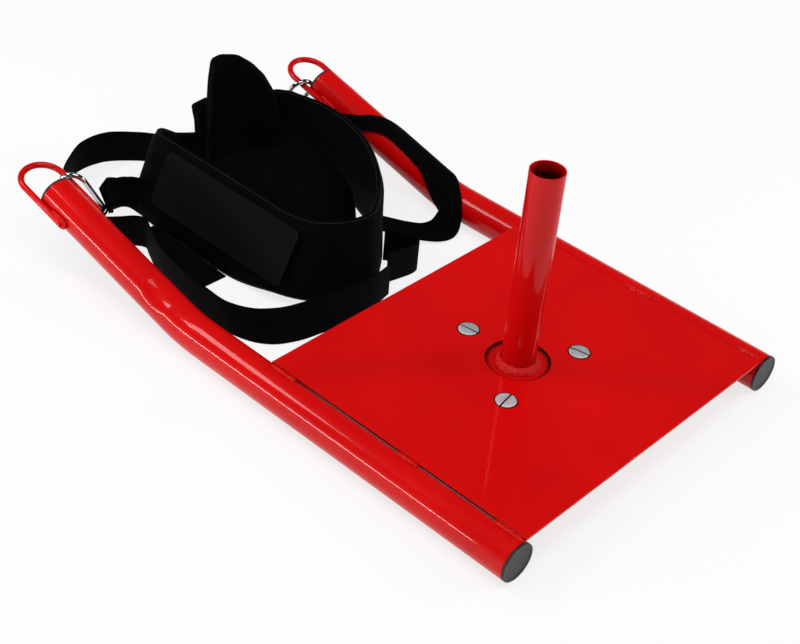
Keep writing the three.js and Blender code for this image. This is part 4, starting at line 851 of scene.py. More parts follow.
def tow_loop(side):
    """A rod bent to a U: two straight legs lapped on the tube, joined by half a circle."""
    turn_start = FRONT_LENGTH + LOOP_REACH - ROD_RADIUS - LEG_OFFSET
    turn = np.linspace(0, math.pi, 41)
    leg = np.linspace(FRONT_LENGTH - LOOP_LAP, turn_start, 14)[:-1]
    turns = np.concatenate([0 * leg, turn, 0 * leg + math.pi])
    s = np.concatenate([leg, turn_start + LEG_OFFSET * np.sin(turn), leg[::-1]])
    outward = -np.cos(turns)[:, None] * X + np.sin(turns)[:, None] * RUN
    middles = on_run(side, -LEG_OFFSET * np.cos(turns), s)
    return sweep(middles, outward, RUN_NORMAL, circle(ROD_RADIUS, 32))


def rod_bead(side, inner):
    """The weld that holds one leg of a tow loop: a bead laid up the groove between rod and tube, round
    the rod's cut end and back down the other groove. Its radius is uneven by two sines, and tapers in
    at both ends with the square root of the distance."""
    groove, lift = LEG_OFFSET - 2.5, 4.1
    line = [(groove, lift, s) for s in (25, 18, 10, 2.5)]
    line += [(groove + 0.4, 3.2, -1.6), (groove + 0.9, 0, -3.4), (groove + 0.4, -3.2, -1.6)]
    line += [(groove, -lift, s) for s in (2.5, 10, 18, 25)]
    aside, height, ahead = smooth(line, 180).T
    across = inner * -side * aside
    middles = on_run(side, across, FRONT_LENGTH - LOOP_LAP + ahead) + height[:, None] * RUN_NORMAL
    run = unit(np.gradient(middles, axis=0))
    rise = 0.6 * np.sign(height) * np.minimum(np.abs(height) / 3, 1)
    out = unit(np.sign(across)[:, None] * X + rise[:, None] * RUN_NORMAL)
    out = unit(out - (out * run).sum(-1, keepdims=True) * run)
    distance = arc_lengths(middles)
    from_end = np.minimum(distance, distance[-1] - distance)
    uneven = 0.3 * np.sin(distance * 2.1 + 1.2 * np.sin(distance / 3)) + 0.25 * np.sin(distance * 0.9)
    radius = (3.3 + uneven) * np.sqrt(np.clip(from_end / 4, 0.03, 1))
    return sweep(middles, out, np.cross(run, out), tapered(radius, 20))


for label, side in SIDES.items():
    surface(f"loop_rod_{label}", tow_loop(side), red_coat, replaces=[f"tow_loop_{label}"])
    for place, inner in (("inner", 1), ("outer", -1)):
        surface(f"rod_bead_{label}_{place}", rod_bead(side, inner), weld_coat,
                replaces=[f"tow_weld_{label}_{place}"], sharp=60)


# Snap hooks


class SnapHook:
    """A hook's own directions: u to its big end, w across its opening, n out of its plane. The gate
    closes its straight side, which runs along a direction from the gate's pin to the nose. The sewn
    loop pulls from the wire's place at the small end, with lift across its fold."""

    def __init__(self, side, gate, pull, ahead, drop, shift, long, wide):
        self.gate_side = gate
        self.u = unit(long)
        self.n = unit(np.cross(self.u, wide))
        self.w = np.cross(self.n, self.u)
        on_rod = on_run(side, -side * LEG_OFFSET, FRONT_LENGTH + ahead)
        self.middle = on_rod - self.u * drop - self.w * shift
        self.taper = math.asin((HOOK_BIG - HOOK_SMALL) / HOOK_SPAN)
        sine, cosine = math.sin(self.taper), math.cos(self.taper)
        self.direction = np.array((cosine, gate * sine))
        self.big_end = HOOK_BIG * np.array((-sine, gate * cosine))
        self.small_end = HOOK_SMALL * np.array((-sine, gate * cosine)) - (HOOK_SPAN, 0)
        self.along = self.direction @ (self.u, self.w)
        self.across = np.cross(self.n, self.along)
        self.pin = self.at(self.small_end + self.direction * HOOK_PIN_INSET)
        self.tip = self.at(self.big_end - self.direction * (HOOK_NOSE + FIT_GAP))
        turn = math.radians(70)
        self.pull = -math.cos(turn) * self.u + pull * math.sin(turn) * self.n
        self.lift = math.sin(turn) * self.u + pull * math.cos(turn) * self.n
        self.width = -self.w if self.w[2] < 0 else self.w
        self.wire_at = self.at((-HOOK_SPAN - HOOK_SMALL, 0))
        self.foot = self.wire_at + self.pull * (SEWN_REACH + STRAP_THICKNESS)

    def at(self, flat):
        """Places in the hook's plane, along u and across it."""
        return self.middle + np.asarray(flat) @ (self.u, self.w)

    def wire(self):
        """Round wire from the nose round the big end, down the spine and round the small end."""
        g = self.gate_side
        a = math.pi / 2 + self.taper - np.linspace(0, 1, 41) * (math.pi + 2 * self.taper)
        b = -math.pi / 2 - self.taper - np.linspace(0, 1, 31) * (math.pi - 2 * self.taper)
        turns = np.concatenate([np.full(7, a[0]), a, b, np.full(3, b[-1])])
        arc = np.stack([np.cos(turns), g * np.sin(turns)], -1)
        nose = self.big_end + np.linspace(-HOOK_NOSE, 0, 8)[:-1, None] * self.direction
        tail = self.direction * (HOOK_PIN_INSET - WIRE_RADIUS - 2 * FIT_GAP)
        flat = np.concatenate([nose, HOOK_BIG * arc[7:48], HOOK_SMALL * arc[48:79] - (HOOK_SPAN, 0),
                               self.small_end + np.linspace(0, 1, 4)[1:, None] * tail])
        radius = np.full(len(flat), WIRE_RADIUS)
        radius[0] = WIRE_RADIUS - 0.9
        middles, outward = self.at(flat), arc @ (self.u, self.w)
        grid = sweep(middles, outward, self.n, tapered(radius, 28))
        tip = sweep(middles[:1] - 0.45 * self.along, outward[:1], self.n, circle(WIRE_RADIUS - 2.2, 28))
        return np.concatenate([tip, grid])

    def gate(self):
        """The gate's rod from where its fork begins to its tip, with a rounded tip edge."""
        length = float(np.dot(self.tip - self.pin, self.along))
        s = np.array([7, 9, 12, 16, 20, length - 1.2, length - 0.6, length - 0.25, length])
        radius = WIRE_RADIUS - np.array([0, 0, 0, 0, 0, 0, 0.12, 0.4, 0.9])
        return sweep(self.pin + s[:, None] * self.along, self.across, self.n, tapered(radius, 28))

    def cheek(self, face):
        """One ear of the gate's fork: the part of the rod beyond a flat, on the side that face gives,
        drawn in row by row past the pin so that it ends rounded."""
        half = math.acos(FORK_HALF / WIRE_RADIUS)
        angle = np.linspace(-half, half, 15)
        arc = WIRE_RADIUS * np.stack([np.sin(angle), face * np.cos(angle)], -1)
        line = np.stack([np.linspace(arc[-1, 0], arc[0, 0], 9)[1:-1], np.full(7, face * FORK_HALF)], -1)
        aside, out = np.concatenate([arc, line]).T
        centre = face * (WIRE_RADIUS + FORK_HALF) / 2
        on_flat = np.abs(out - face * FORK_HALF) < 1e-6
        rows = []
        for s, shrink in ((7.3, 1), (4, 1), (0, 1), (-0.6, 0.96), (-1.8, 0.8), (-2.6, 0.55)):
            drawn = np.where(on_flat, out, centre + (out - centre) * shrink)
            drawn = face * np.maximum(np.abs(drawn), FORK_HALF)
            rows.append(self.pin + s * self.along + np.outer(aside * shrink, self.across)
                        + np.outer(drawn, self.n))
        return np.array(rows)

    def tongue(self):
        """A flat tongue from the wire's end into the gate's fork, with a round end about the pin."""
        turn = np.linspace(-math.pi / 2, math.pi / 2, 17)
        end = TONGUE_RADIUS * np.stack([np.cos(turn), np.sin(turn)], -1)
        outline = np.concatenate([end, [(-6.0, TONGUE_RADIUS), (-6.0, -TONGUE_RADIUS)]])
        return np.array([self.pin + outline * shrink @ (self.along, self.across) + out * self.n
                         for out, shrink in ((-1.2, 0.94), (-1.05, 1), (1.05, 1), (1.2, 0.94))])

    def rivet(self):
        """The gate's pin: a rivet with low domed ends."""
        half = [[3.2, 1.2], [3.45, 1.1], [3.7, 0.6], [3.75, 0.01]]
        return turned([[-s, r] for s, r in half[::-1]] + half, self.pin, self.n, 24)


hooks = {label: SnapHook(**sizes) for label, sizes in HOOKS.items()}
for label, hook in hooks.items():
    steel, wire, gate = dict(material=nickel), f"{label}_hook", f"{label}_gate"
    surface(f"snap_wire_{label}", hook.wire(), body=wire, replaces=[f"hook_{label}"], **steel)
    surface(f"snap_tongue_{label}", hook.tongue(), body=wire, **steel)
    surface(f"snap_rivet_{label}", hook.rivet(), body=wire, replaces=[f"hook_pin_{label}"], **steel)
    surface(f"snap_gate_{label}", hook.gate(), body=gate, replaces=[f"hook_gate_{label}"], **steel)
    for name, face in (("near", 1), ("far", -1)):
        surface(f"snap_ear_{name}_{label}", hook.cheek(face), body=gate, **steel)


# Harness: bands that stand or lie on the floor

UPRIGHT = (0, 0, 1)


def laid(x_share, y_share, z):
    """A place between the runners: shares of the clear half width and of the reach ahead of the deck."""
    return np.array((x_share * CLEAR_HALF, DECK_LENGTH + y_share * FRONT_REACH, z))


def standing(x_share, y_share, lean, width, lift=0.0):
    """A station of a band that stands on its long edge, lift above the floor, leaning by a direction."""
    up = unit(lean)
    return laid(x_share, y_share, FLOOR_GAP + width * up[2] / 2 + lift), up, width


def stations(rows, width):
    """Stations from rows of x and y shares and then, where it isn't upright, as wide as the band and on
    the floor, the lean and the shares of the width for its own width and its lift."""
    made = []
    for x, y, *rest in rows:
        lean, wide, lift = [*rest, *(UPRIGHT, 1, 0)[len(rest):]]
        made.append(standing(x, y, lean, width * wide, width * lift))
    return made


def band_lines(rows, steps):
    """Smoothed middle, up and width at steps + 1 places, and the outward side."""
    middles, ups = (smooth([row[k] for row in rows], steps) for k in (0, 1))
    widths = smooth([[row[2]] for row in rows], steps)[:, 0]
    tangent = unit(np.gradient(middles, axis=0))
    ups = unit(ups - (ups * tangent).sum(-1, keepdims=True) * tangent)
    return middles, ups, widths, np.cross(tangent, ups)


def two_faced(middles, ups, out, across, front, rear):
    """A band as a front face, front outward of its middle, and a rear face, with each point's place
    round the section and each row's along the band."""
    flat = middles[:, None] + across[..., None] * ups[:, None]
    faces = [flat + depth[..., None] * out[:, None] for depth in (front, rear)]
    around = np.concatenate([across[0], 2 * across[0, -1] - across[0, ::-1]])
    return np.concatenate([faces[0], faces[1][:, ::-1]], 1), around - around[0], arc_lengths(middles)


def strap_section(columns=17, edge=5):
    """A webbing's section as shares of its half width and half thickness: flat faces and round edges."""
    turn = np.linspace(-math.pi / 2, math.pi / 2, edge)
    flat = np.linspace(-1, 1, columns)
    right = np.stack([np.ones(edge), np.sin(turn)], -1)
    bulge = np.stack([np.cos(turn), 0 * turn], -1)
    lower, upper = (np.stack([face[1:-1], np.full(columns - 2, height)], -1)
                    for face, height in ((flat, -1), (flat[::-1], 1)))
    level = np.zeros((columns - 2, 2))
    return np.concatenate([lower, right, upper, -right]), np.concatenate([level, bulge, level, -bulge])


def band_grid(rows, steps, ripple_height=0.0):
    """A webbing carried along its stations. Each section point is across * (half width - half
    thickness) + round edge * half thickness, and no point is under the floor gap. Long soft waves
    through the band, as webbing has once it was folded, are a sum of two sines of the distance."""
    middles, ups, widths, out = band_lines(rows, steps)
    shares, round_part = strap_section()
    half = STRAP_THICKNESS / 2
    across = shares[:, 0] * (widths[:, None] / 2 - half) + round_part[:, 0] * half
    distance = arc_lengths(middles)
    bent = ripple_height * (np.sin(distance / 23 + 0.6) + 0.5 * np.sin(distance / 9.1))
    through = shares[:, 1] * half + bent[:, None] * np.abs(across) / (widths[:, None] / 2)
    grid = middles[:, None] + across[..., None] * ups[:, None] + through[..., None] * out[:, None]
    return above_floor(grid), arc_lengths(np.stack([across[0], through[0]], -1)), distance


def cloth_piece(name, made, material, **settings):
    """A piece of cloth from its grid and its columns' and rows' places."""
    grid, around, distance = made
    return surface(name, grid, material, across=around, along=distance, **settings)


def laid_strap(name, made, node, body="sled"):
    """A piece of webbing that stands in for its CAD node, with its cloth map laid out by its width and
    length.
    """
    piece = cloth_piece(name, made, webbing, body=body, replaces=[node], sharp=60)
    return piece


LONG_STRAP = [
    (0.02, 1.235), (-0.08, 1.3), (-0.26, 1.37), (-0.45, 1.372, (0, -0.1, 1)), (-0.62, 1.32, (-0.2, -0.3, 1)),
    (-0.76, 1.24, (-0.35, -0.35, 1)), (-0.88, 1.14, (-0.2, -0.1, 1)), (-0.93, 1.03), (-0.9, 0.95),
    (-0.81, 0.905), (-0.72, 0.87), (-0.69, 0.84), (-0.72, 0.8), (-0.8, 0.7), (-0.86, 0.55),
    (-0.88, 0.4), (-0.87, 0.3), (-0.81, 0.225, (0.1, 0.1, 1)), (-0.72, 0.18, (0.25, 0.25, 1)),
    (-0.62, 0.155, (0.3, 0.3, 1)), (-0.48, 0.135, (0.3, 0.3, 1)), (-0.28, 0.115, (0.2, 0.25, 1)),
    (-0.05, 0.105, (0.1, 0.1, 1)), (0.12, 0.12)]
LOOSE_STRAP = [(0.36, 0.27), (0.41, 0.23), (0.45, 0.19), (0.45, 0.158), (0.4, 0.15), (0.3, 0.158),
               (0.2, 0.17)]
TAIL = [(-0.595, 0.92), (-0.585, 0.85), (-0.59, 0.76), (-0.6, 0.67), (-0.605, 0.54)]
TAIL_WIDTH = STRAP_WIDTH * NARROW_SHARE

laid_strap("strap_long", band_grid(stations(LONG_STRAP, STRAP_WIDTH), 300, 0.25), "long_strap")
laid_strap("strap_loose", band_grid(stations(LOOSE_STRAP, STRAP_WIDTH), 90), "loose_strap")
tail_stations = [(laid(x, y, FLOOR_GAP + STRAP_THICKNESS / 2), X, TAIL_WIDTH) for x, y in TAIL]
laid_strap("strap_end", band_grid(tail_stations, 60), "strap_tail")

# Waist belt, with its ribbed band on the outer face
BELT_SIDE = -0.37
BELT_SIDE_LEAN = (0.52, 0, 1)
BELT = [
    (0.13, 1.112, (0.02, -0.1, 1), 0.56), (-0.06, 1.13, (0.1, -0.15, 1), 0.66),
    (-0.24, 1.11, (0.2, -0.15, 1), 0.86), (-0.345, 1.05, (0.4, -0.1, 1), 0.97),
    (BELT_SIDE, 0.95, (0.5, 0, 1)), (BELT_SIDE, 0.76, BELT_SIDE_LEAN), (BELT_SIDE, 0.53, BELT_SIDE_LEAN),
    (-0.348, 0.37, (0.48, 0.06, 1), 0.9, 0.085),
    (-0.282, 0.263, (0.3, 0.2, 1), 0.9, 0.095), (-0.13, 0.2, (0.08, 0.18, 1), 0.95, 0.045),
    (0.05, 0.18, (0, 0.12, 1)), (0.19, 0.225, (-0.04, 0.04, 1), 0.98), (0.35, 0.3, (-0.04, 0.02, 1), 0.96),
    (0.5, 0.39, (-0.02, 0.02, 1), 0.96), (0.62, 0.5, UPRIGHT, 0.98), (0.72, 0.64), (0.76, 0.79),
    (0.75, 0.93, UPRIGHT, 0.95), (0.757, 0.985, UPRIGHT, 0.9), (0.74, 1.03, UPRIGHT, 0.87),
    (0.7, 1.052, UPRIGHT, 0.86)]


def belt():
    """The padded belt. From its edge inwards come a bound edge, a sewn valley and foam: half thickness
    is edge + (full - edge) * smoothstep of the distance from the edge, less a narrow valley where the
    binding is sewn on, 9 mm in, times a rounding at the very edge. Soft creases scale it by a slow wave
    along the belt."""
    middles, ups, widths, out = band_lines(stations(BELT, BELT_WIDTH), 260)
    across = np.sin(np.linspace(-math.pi / 2, math.pi / 2, 33)) * widths[:, None] / 2
    inside = widths[:, None] / 2 - np.abs(across)
    t = np.clip(inside / 16, 0, 1)
    half = BELT_EDGE + (BELT_THICKNESS / 2 - BELT_EDGE) * t * t * (3 - 2 * t)
    half = (half - np.exp(-((inside - 9) / 1.6) ** 2)) * np.sqrt(np.clip(inside / 2.2, 0.02, 1))
    distance = arc_lengths(middles)[:, None]
    half = half * (1 - 0.1 * (0.5 + 0.5 * np.sin(distance / 13 + 2 * np.sin(across / 30))))
    grid, around, distance = two_faced(middles, ups, out, across, half, -half)
    return above_floor(grid), around, distance


def ribbed_band():
    """A band of elastic webbing on the belt's outer face: thin, with rounded corners, and with fine ribs
    across its length whose height is a rectified sine of the distance along it, inside a flat border."""
    rows = []
    for y_share in np.linspace(0.965, 0.31, 4):
        at, up, _ = standing(BELT_SIDE, y_share, BELT_SIDE_LEAN, BELT_WIDTH)
        out = np.array((-up[2], 0, up[0]))
        on_face = at + out * (BELT_THICKNESS / 2 + BAND_LIFT + FIT_GAP)
        rows.append((on_face + up * BELT_WIDTH * BAND_RAISE, up, RIBBED_WIDTH))
    middles, ups, widths, out = band_lines(rows, 900)
    distance = arc_lengths(middles)
    from_end = np.clip(np.minimum(distance, distance[-1] - distance), 0, BAND_CORNER)
    widths = widths - 2 * (BAND_CORNER - np.sqrt(BAND_CORNER ** 2 - (BAND_CORNER - from_end) ** 2))
    across = np.linspace(-0.5, 0.5, 25) * widths[:, None]
    inside = np.minimum(widths[:, None] / 2 - np.abs(across), from_end[:, None])
    crest = np.abs(np.sin(math.pi * distance / RIB_PITCH))[:, None]
    round_edge = np.sqrt(np.clip(inside / 1.2, 0.01, 1))
    lift = BAND_LIFT * round_edge + RIB_HEIGHT * crest * np.clip((inside - 5) / 1.5, 0, 1)
    return two_faced(middles, ups, out, across, -lift, np.ones_like(lift))


belt_made, band_made = belt(), ribbed_band()
waist_belt = cloth_piece("waist_belt", belt_made, belt_cloth, replaces=["belt_pad"], sharp=70)
cloth_piece("belt_ribbing", band_made, ribbed_cloth, replaces=["belt_ribbed_band"], sharp=60)


# Shoulder pads and back pad

FOLDED_PAD = [(0, 0), (0.03, 0.69), (0.045, 0.83), (0.08, 0.97), (0.2, 1), (0.42, 0.99), (0.61, 0.92),
              (0.78, 0.82), (0.91, 0.69), (0.98, 0.54), (1, 0)]
LOW_PAD = [(0, 0), (-0.01, 0.57), (-0.02, 0.72), (-0.06, 0.93), (0.15, 1), (0.7, 1), (0.95, 0.85),
           (1, 0.6), (1, 0)]
BACK_PAD = [(-0.24, 0.96), (-0.3, 0.76), (-0.3, 0.54), (-0.22, 0.37), (-0.06, 0.27), (0.1, 0.27),
            (0.27, 0.34), (0.44, 0.43), (0.6, 0.57), (0.72, 0.72), (0.6, 0.86), (0.36, 0.9), (0.08, 0.97)]


def pad_solid(outline, foot, head, height, thickness):
    """An upright pad: its outline in shares of length and height, filled smoothly. Layers through the
    pad are scaled towards the middle by a quarter-round, so its rim is a soft roll."""
    along = head - foot
    out = np.cross(unit(along), Z)
    dense = closed_smooth(foot + np.asarray(outline, float) @ (along, height * Z), 140, 0.1)
    middle = foot + along / 2 + Z * height / 2
    turn = np.linspace(-math.pi / 2, math.pi / 2, 13)
    layers = [(thickness / 2 * math.sin(a), PAD_SPREAD - PAD_ROLL * (1 - math.cos(a))) for a in turn]
    rim = PAD_SPREAD - PAD_ROLL
    for share in (0.6, 0.6 * 0.3):
        layers = [(layers[0][0], rim * share), *layers, (layers[-1][0], rim * share)]
    rows = [middle + (dense - middle) * spread + depth * out for depth, spread in layers]
    return above_floor(np.array(rows))


def back_cushion():
    """A crowned cushion: its outline scaled towards the middle as it rises, by a superellipse of the
    height, so that the sides stand and the top closes in a low crown."""
    dense = closed_smooth(np.array([laid(x, y, 0) for x, y in BACK_PAD]), 160)
    middle = dense.mean(0)
    rise = np.concatenate([[0, 0.03, 0.08], np.sin(np.linspace(0.15, math.pi / 2, 22))])
    spread = np.maximum(np.where(rise < 0.1, 0.93 + 0.6 * rise, (1 - rise ** 3.5) ** 0.42), 0.02)
    rows = middle + (dense - middle) * spread[:, None, None]
    return rows + (FLOOR_GAP + rise[:, None, None] * CUSHION_HEIGHT) * Z


def vertex_places(mesh):
    places = np.zeros(len(mesh.vertices) * 3)
    mesh.vertices.foreach_get("co", places)
    return places.reshape(-1, 3)


def swollen(name, grid, shrink, voxel_mm, cap_mm):
    """A stuffed cover: the closed grid, shrunk a little, remeshed evenly, then blown up as cloth for
    twenty frames against its own stiffness, with no point moved further than the cap."""
    middle = grid.reshape(-1, 3).mean(0)
    holder = linked(name, surface_mesh(name, middle + (grid - middle) * shrink))
    remesh = holder.modifiers.new("even", "REMESH")
    remesh.mode = "VOXEL"
    remesh.voxel_size = voxel_mm * MM
    mesh = baked(holder)
    holder.modifiers.clear()
    holder.data = mesh
    places = vertex_places(mesh)
    cloth = holder.modifiers.new("cloth", "CLOTH")
    cloth.settings.use_pressure = True
    cloth.settings.uniform_pressure_force = 4
    cloth.settings.tension_stiffness = 12
    cloth.settings.bending_stiffness = 0.6
    cloth.settings.effector_weights.gravity = 0
    for number in range(1, 21):
        bpy.context.scene.frame_set(number)
    move = vertex_places(baked(holder)) - places
    reach = np.linalg.norm(move, axis=1, keepdims=True)
    places = places + move * np.minimum(1, cap_mm * MM / np.maximum(reach, 1e-9))
    holder.modifiers.clear()
    bpy.context.scene.frame_set(1)
    places[:, 2] = np.maximum(places[:, 2], FLOOR_GAP * MM)
    mesh.vertices.foreach_set("co", places.ravel())
    mesh.shade_smooth()
    divide = holder.modifiers.new("finer", "SUBSURF")
    divide.levels = divide.render_levels = 1
    finer = baked(holder)
    bpy.data.objects.remove(holder)
    finer.name = name
    return finer


def piping(name, line):
    """A corded edge: a round cord carried along a closed line, its thickness pinched once every few
    millimetres where a stitch holds it."""
    run = unit(np.roll(line, -1, axis=0) - np.roll(line, 1, axis=0))
    side = unit(np.cross(run, Z))
    distance = arc_lengths(line)
    pinch = 1 - 0.1 * np.abs(np.sin(math.pi * distance / 4.2)) ** 6
    grid = sweep(line, side, np.cross(side, run), tapered(PIPING_RADIUS * pinch, 12))
    around = arc_lengths(circle(PIPING_RADIUS, 12))
    cloth_piece(name, (grid, around, distance), binding, loop_rows=True, sharp=180)


low_feet = [laid(0.158, 1.1132, FLOOR_GAP), laid(0.63, 1.0275, FLOOR_GAP)]
folded_feet = [foot - (x * FOLDED_THICKNESS, y * FOLDED_THICKNESS, 0)
               for foot, (x, y) in zip(low_feet, ((0.148, 0.897), (0.55, 1.52)))]
pad_grids = {"folded": pad_solid(FOLDED_PAD, *folded_feet, FOLDED_HEIGHT, FOLDED_THICKNESS),
             "low": pad_solid(LOW_PAD, *low_feet, LOW_HEIGHT, LOW_THICKNESS)}
pads = [surface(f"pad_{name}", grid, pad_cloth, replaces=[f"shoulder_pad_{name}"], sharp=80)
        for name, grid in pad_grids.items()]
back_mesh = swollen("pad_back", back_cushion(), 0.965, 5, 7)
pads.append(finish_piece("pad_back", back_mesh, pad_cloth, replaces=["back_pad"], sharp=180))

for name, grid in pad_grids.items():
    rim = grid[len(grid) // 2]
    middle = rim.mean(0)
    seam = even_loop(middle + (rim - middle) * 0.998, 420)
    seam[:, 2] = np.maximum(seam[:, 2], FLOOR_GAP + PIPING_RADIUS)
    piping(f"edge_cord_{name}", seam)


def stitches(name, line, normals):
    """A row of lock stitches: one short capsule every pitch along a line, its middle a third of its
    radius above the cloth. Every capsule is the same grid, six round by five along."""
    distance = arc_lengths(line)
    count = int(distance[-1] / STITCH_PITCH)
    places = (np.arange(count) + 0.5) * STITCH_PITCH
    at = places_on(line, distance, places)
    out = unit(places_on(normals, distance, places))
    run = unit(places_on(line, distance, places + 0.5) - places_on(line, distance, places - 0.5))
    ends = np.array([-1, -0.8, 0, 0.8, 1]) * STITCH_LENGTH / 2
    ring = np.array([0.15, 0.8, 1, 0.8, 0.15])[:, None, None] * circle(THREAD_RADIUS, 6)
    axes = [v[:, None, None] for v in (run, np.cross(run, out), out)]
    points = at[:, None, None] + ends[:, None, None] * axes[0] + ring[..., :1] * axes[1]
    points = (points + (ring[..., 1:] + THREAD_RADIUS * 0.35) * axes[2]).reshape(-1, 3)
    size = ends.size * 6
    quads = grid_faces(ends.size, 6, False, True)
    if volume_sign(points[:size], quads) < 0:
        quads = quads[:, ::-1]
    first, last = np.arange(6), np.arange(size - 6, size)
    forward = bool(quads[0][1] == quads[0][0] + 1)
    caps = [first[::-1] if forward else first, last if forward else last[::-1]]
    starts = (np.arange(count) * size)[:, None]
    faces = (quads + starts[..., None]).reshape(-1, 4).tolist()
    faces += [row for cap_ring in caps for row in (cap_ring + starts).tolist()]
    finish_piece(name, new_mesh(name, points, faces), thread, sharp=80)


def facing_lines(made, column):
    """One column of a two-faced band's front, and the column behind it."""
    grid = made[0]
    return grid[:, column], grid[:, grid.shape[1] - 1 - column]


for name, column in (("upper", 29), ("lower", 3)):
    outer, inner = facing_lines(belt_made, column)
    stitches(f"belt_stitching_{name}", outer, outer - inner)
    stitches(f"belt_stitching_{name}_rear", inner, inner - outer)
for name, column in (("upper", 23), ("lower", 1)):
    outer, inner = (line[12:-12] for line in facing_lines(band_made, column))
    stitches(f"ribbing_stitching_{name}", outer, outer - inner)


# Straps that run from the hooks: sewn loops, and the two lead straps

SEWN_LOOP = [(-0.41, 0.14), (-0.28, 0.95), (0, 1.12), (0.3, 0.94), (0.6, 0.6), (0.85, 0.34), (0.96, 0.24),
             (1, 0), (0.96, -0.24), (0.85, -0.34), (0.6, -0.56), (0.3, -0.76), (0, -0.8), (-0.28, -0.52)]
LEFT_LEAD_LEAN = (-0.344, 0.227, 0.911)
LEFT_LEAD = [(-0.6, 1.08, UPRIGHT, 1, 0.12), (-0.5, 1.088), (-0.455, 1.06, (0.25, 0, 1)),
             (-0.432, 1.0, (0.5, 0, 1))]
RISE_ROWS = [((0.88, 0.985), 0.65, (0.05, 0, 1), 0.75), ((0.89, 0.92), 1.05, (0.1, 0.1, 0.95), 0.6),
             ((0.93, 0.865), 1.35, (0.25, 0.2, 0.95), 0.48)]
ON_RUNNER = [(0.8, 0.95, 0.42), (0.745, 0.66, 0.4), (0.695, 0.33, 0.5), (0.635, 0.04, 0.68),
             (0.56, -0.1, 0.9), (0.5, -0.12, 1), (0.444, -0.06, 1), (0.375, 0.2, 1), (0.32, 0.58, 1),
             (0.285, 0.92, 1), (0.272, 1.25, 1)]
FLOOR_ROWS = [(0.945, 0.206, 0.12, 0.951, 0.324, 0.1), (0.876, 0.2, 0.05, 0.904, 0.32, 0.08),
              (0.782, 0.211, 0.08, 0.831, 0.328, 0.1), (0.676, 0.255, 0.15, 0.767, 0.359, 0.14),
              (0.603, 0.315, 0.19, 0.717, 0.402, 0.16), (0.542, 0.385, 0.2, 0.662, 0.482, 0.12)]
CROSS = 0.5 - np.linspace(0, 1, 17)
WRAP_GAP = 1.5


def sewn_loop(hook):
    """Folded webbing sewn round the hook's wire: a closed path once round it, 2 mm thick, widening
    by a smoothstep from its neck at the wire to where it is sewn to its strap."""
    path = np.array(SEWN_LOOP) * (SEWN_REACH, 2 * WIRE_RADIUS)
    closed = closed_smooth(np.concatenate([path, np.zeros((len(path), 1))], 1), 96)[:, :2]
    run = unit(np.roll(closed, -1, axis=0) - np.roll(closed, 1, axis=0))
    t = np.clip((closed[:, 0] - 2 * WIRE_RADIUS) / (SEWN_REACH - 2 * WIRE_RADIUS), 0, 1)
    half = (SEWN_NECK + (SEWN_WIDTH - SEWN_NECK) * t * t * (3 - 2 * t)) / 2
    shares, round_part = strap_section(9, 5)
    across = shares[:, 0] * (half[:, None] - 1) + round_part[:, 0]
    through = shares[:, 1]
    along = closed[:, :1] - run[:, 1:] * through
    aside = closed[:, 1:] + run[:, :1] * through
    folded_line = hook.wire_at + along[..., None] * hook.pull + aside[..., None] * hook.lift
    grid = folded_line + across[..., None] * hook.width
    return grid, arc_lengths(np.stack([across[0], through], -1)), arc_lengths(closed)


def left_lead(hook):
    """The left lead strap: from the sewn loop, through a quarter turn, to the belt."""
    width, lean = STRAP_WIDTH * NARROW_SHARE, unit(LEFT_LEAD_LEAN)
    start = hook.foot + hook.pull * WIRE_RADIUS + lean * width * 0.2
    turning = [(start, lean, width), (start + hook.pull * STRAP_WIDTH / 3, unit(lean + Z), STRAP_WIDTH)]
    return band_grid(turning + stations(LEFT_LEAD, STRAP_WIDTH), 120)


def axis_height(y):
    """The height of a runner's axis over the place y: level, then a circle's arc, then a straight rise."""
    past = y - (REAR_LENGTH - BEND_RADIUS * math.tan(RISE / 2))
    reach = np.clip(past, 0, BEND_RADIUS)
    arc = TUBE_RADIUS + BEND_RADIUS - np.sqrt(np.maximum(BEND_RADIUS ** 2 - reach ** 2, 0))
    straight = TUBE_RADIUS + (y - REAR_LENGTH) * math.tan(RISE)
    return np.where(past <= 0, TUBE_RADIUS, np.where(past < BEND_RADIUS * math.sin(RISE), arc, straight))


def smooth_rows(rows, steps):
    """Cross lines smoothed along the band, one column of points after another."""
    return np.stack([smooth(column, steps) for column in np.array(rows).transpose(1, 0, 2)], 1)


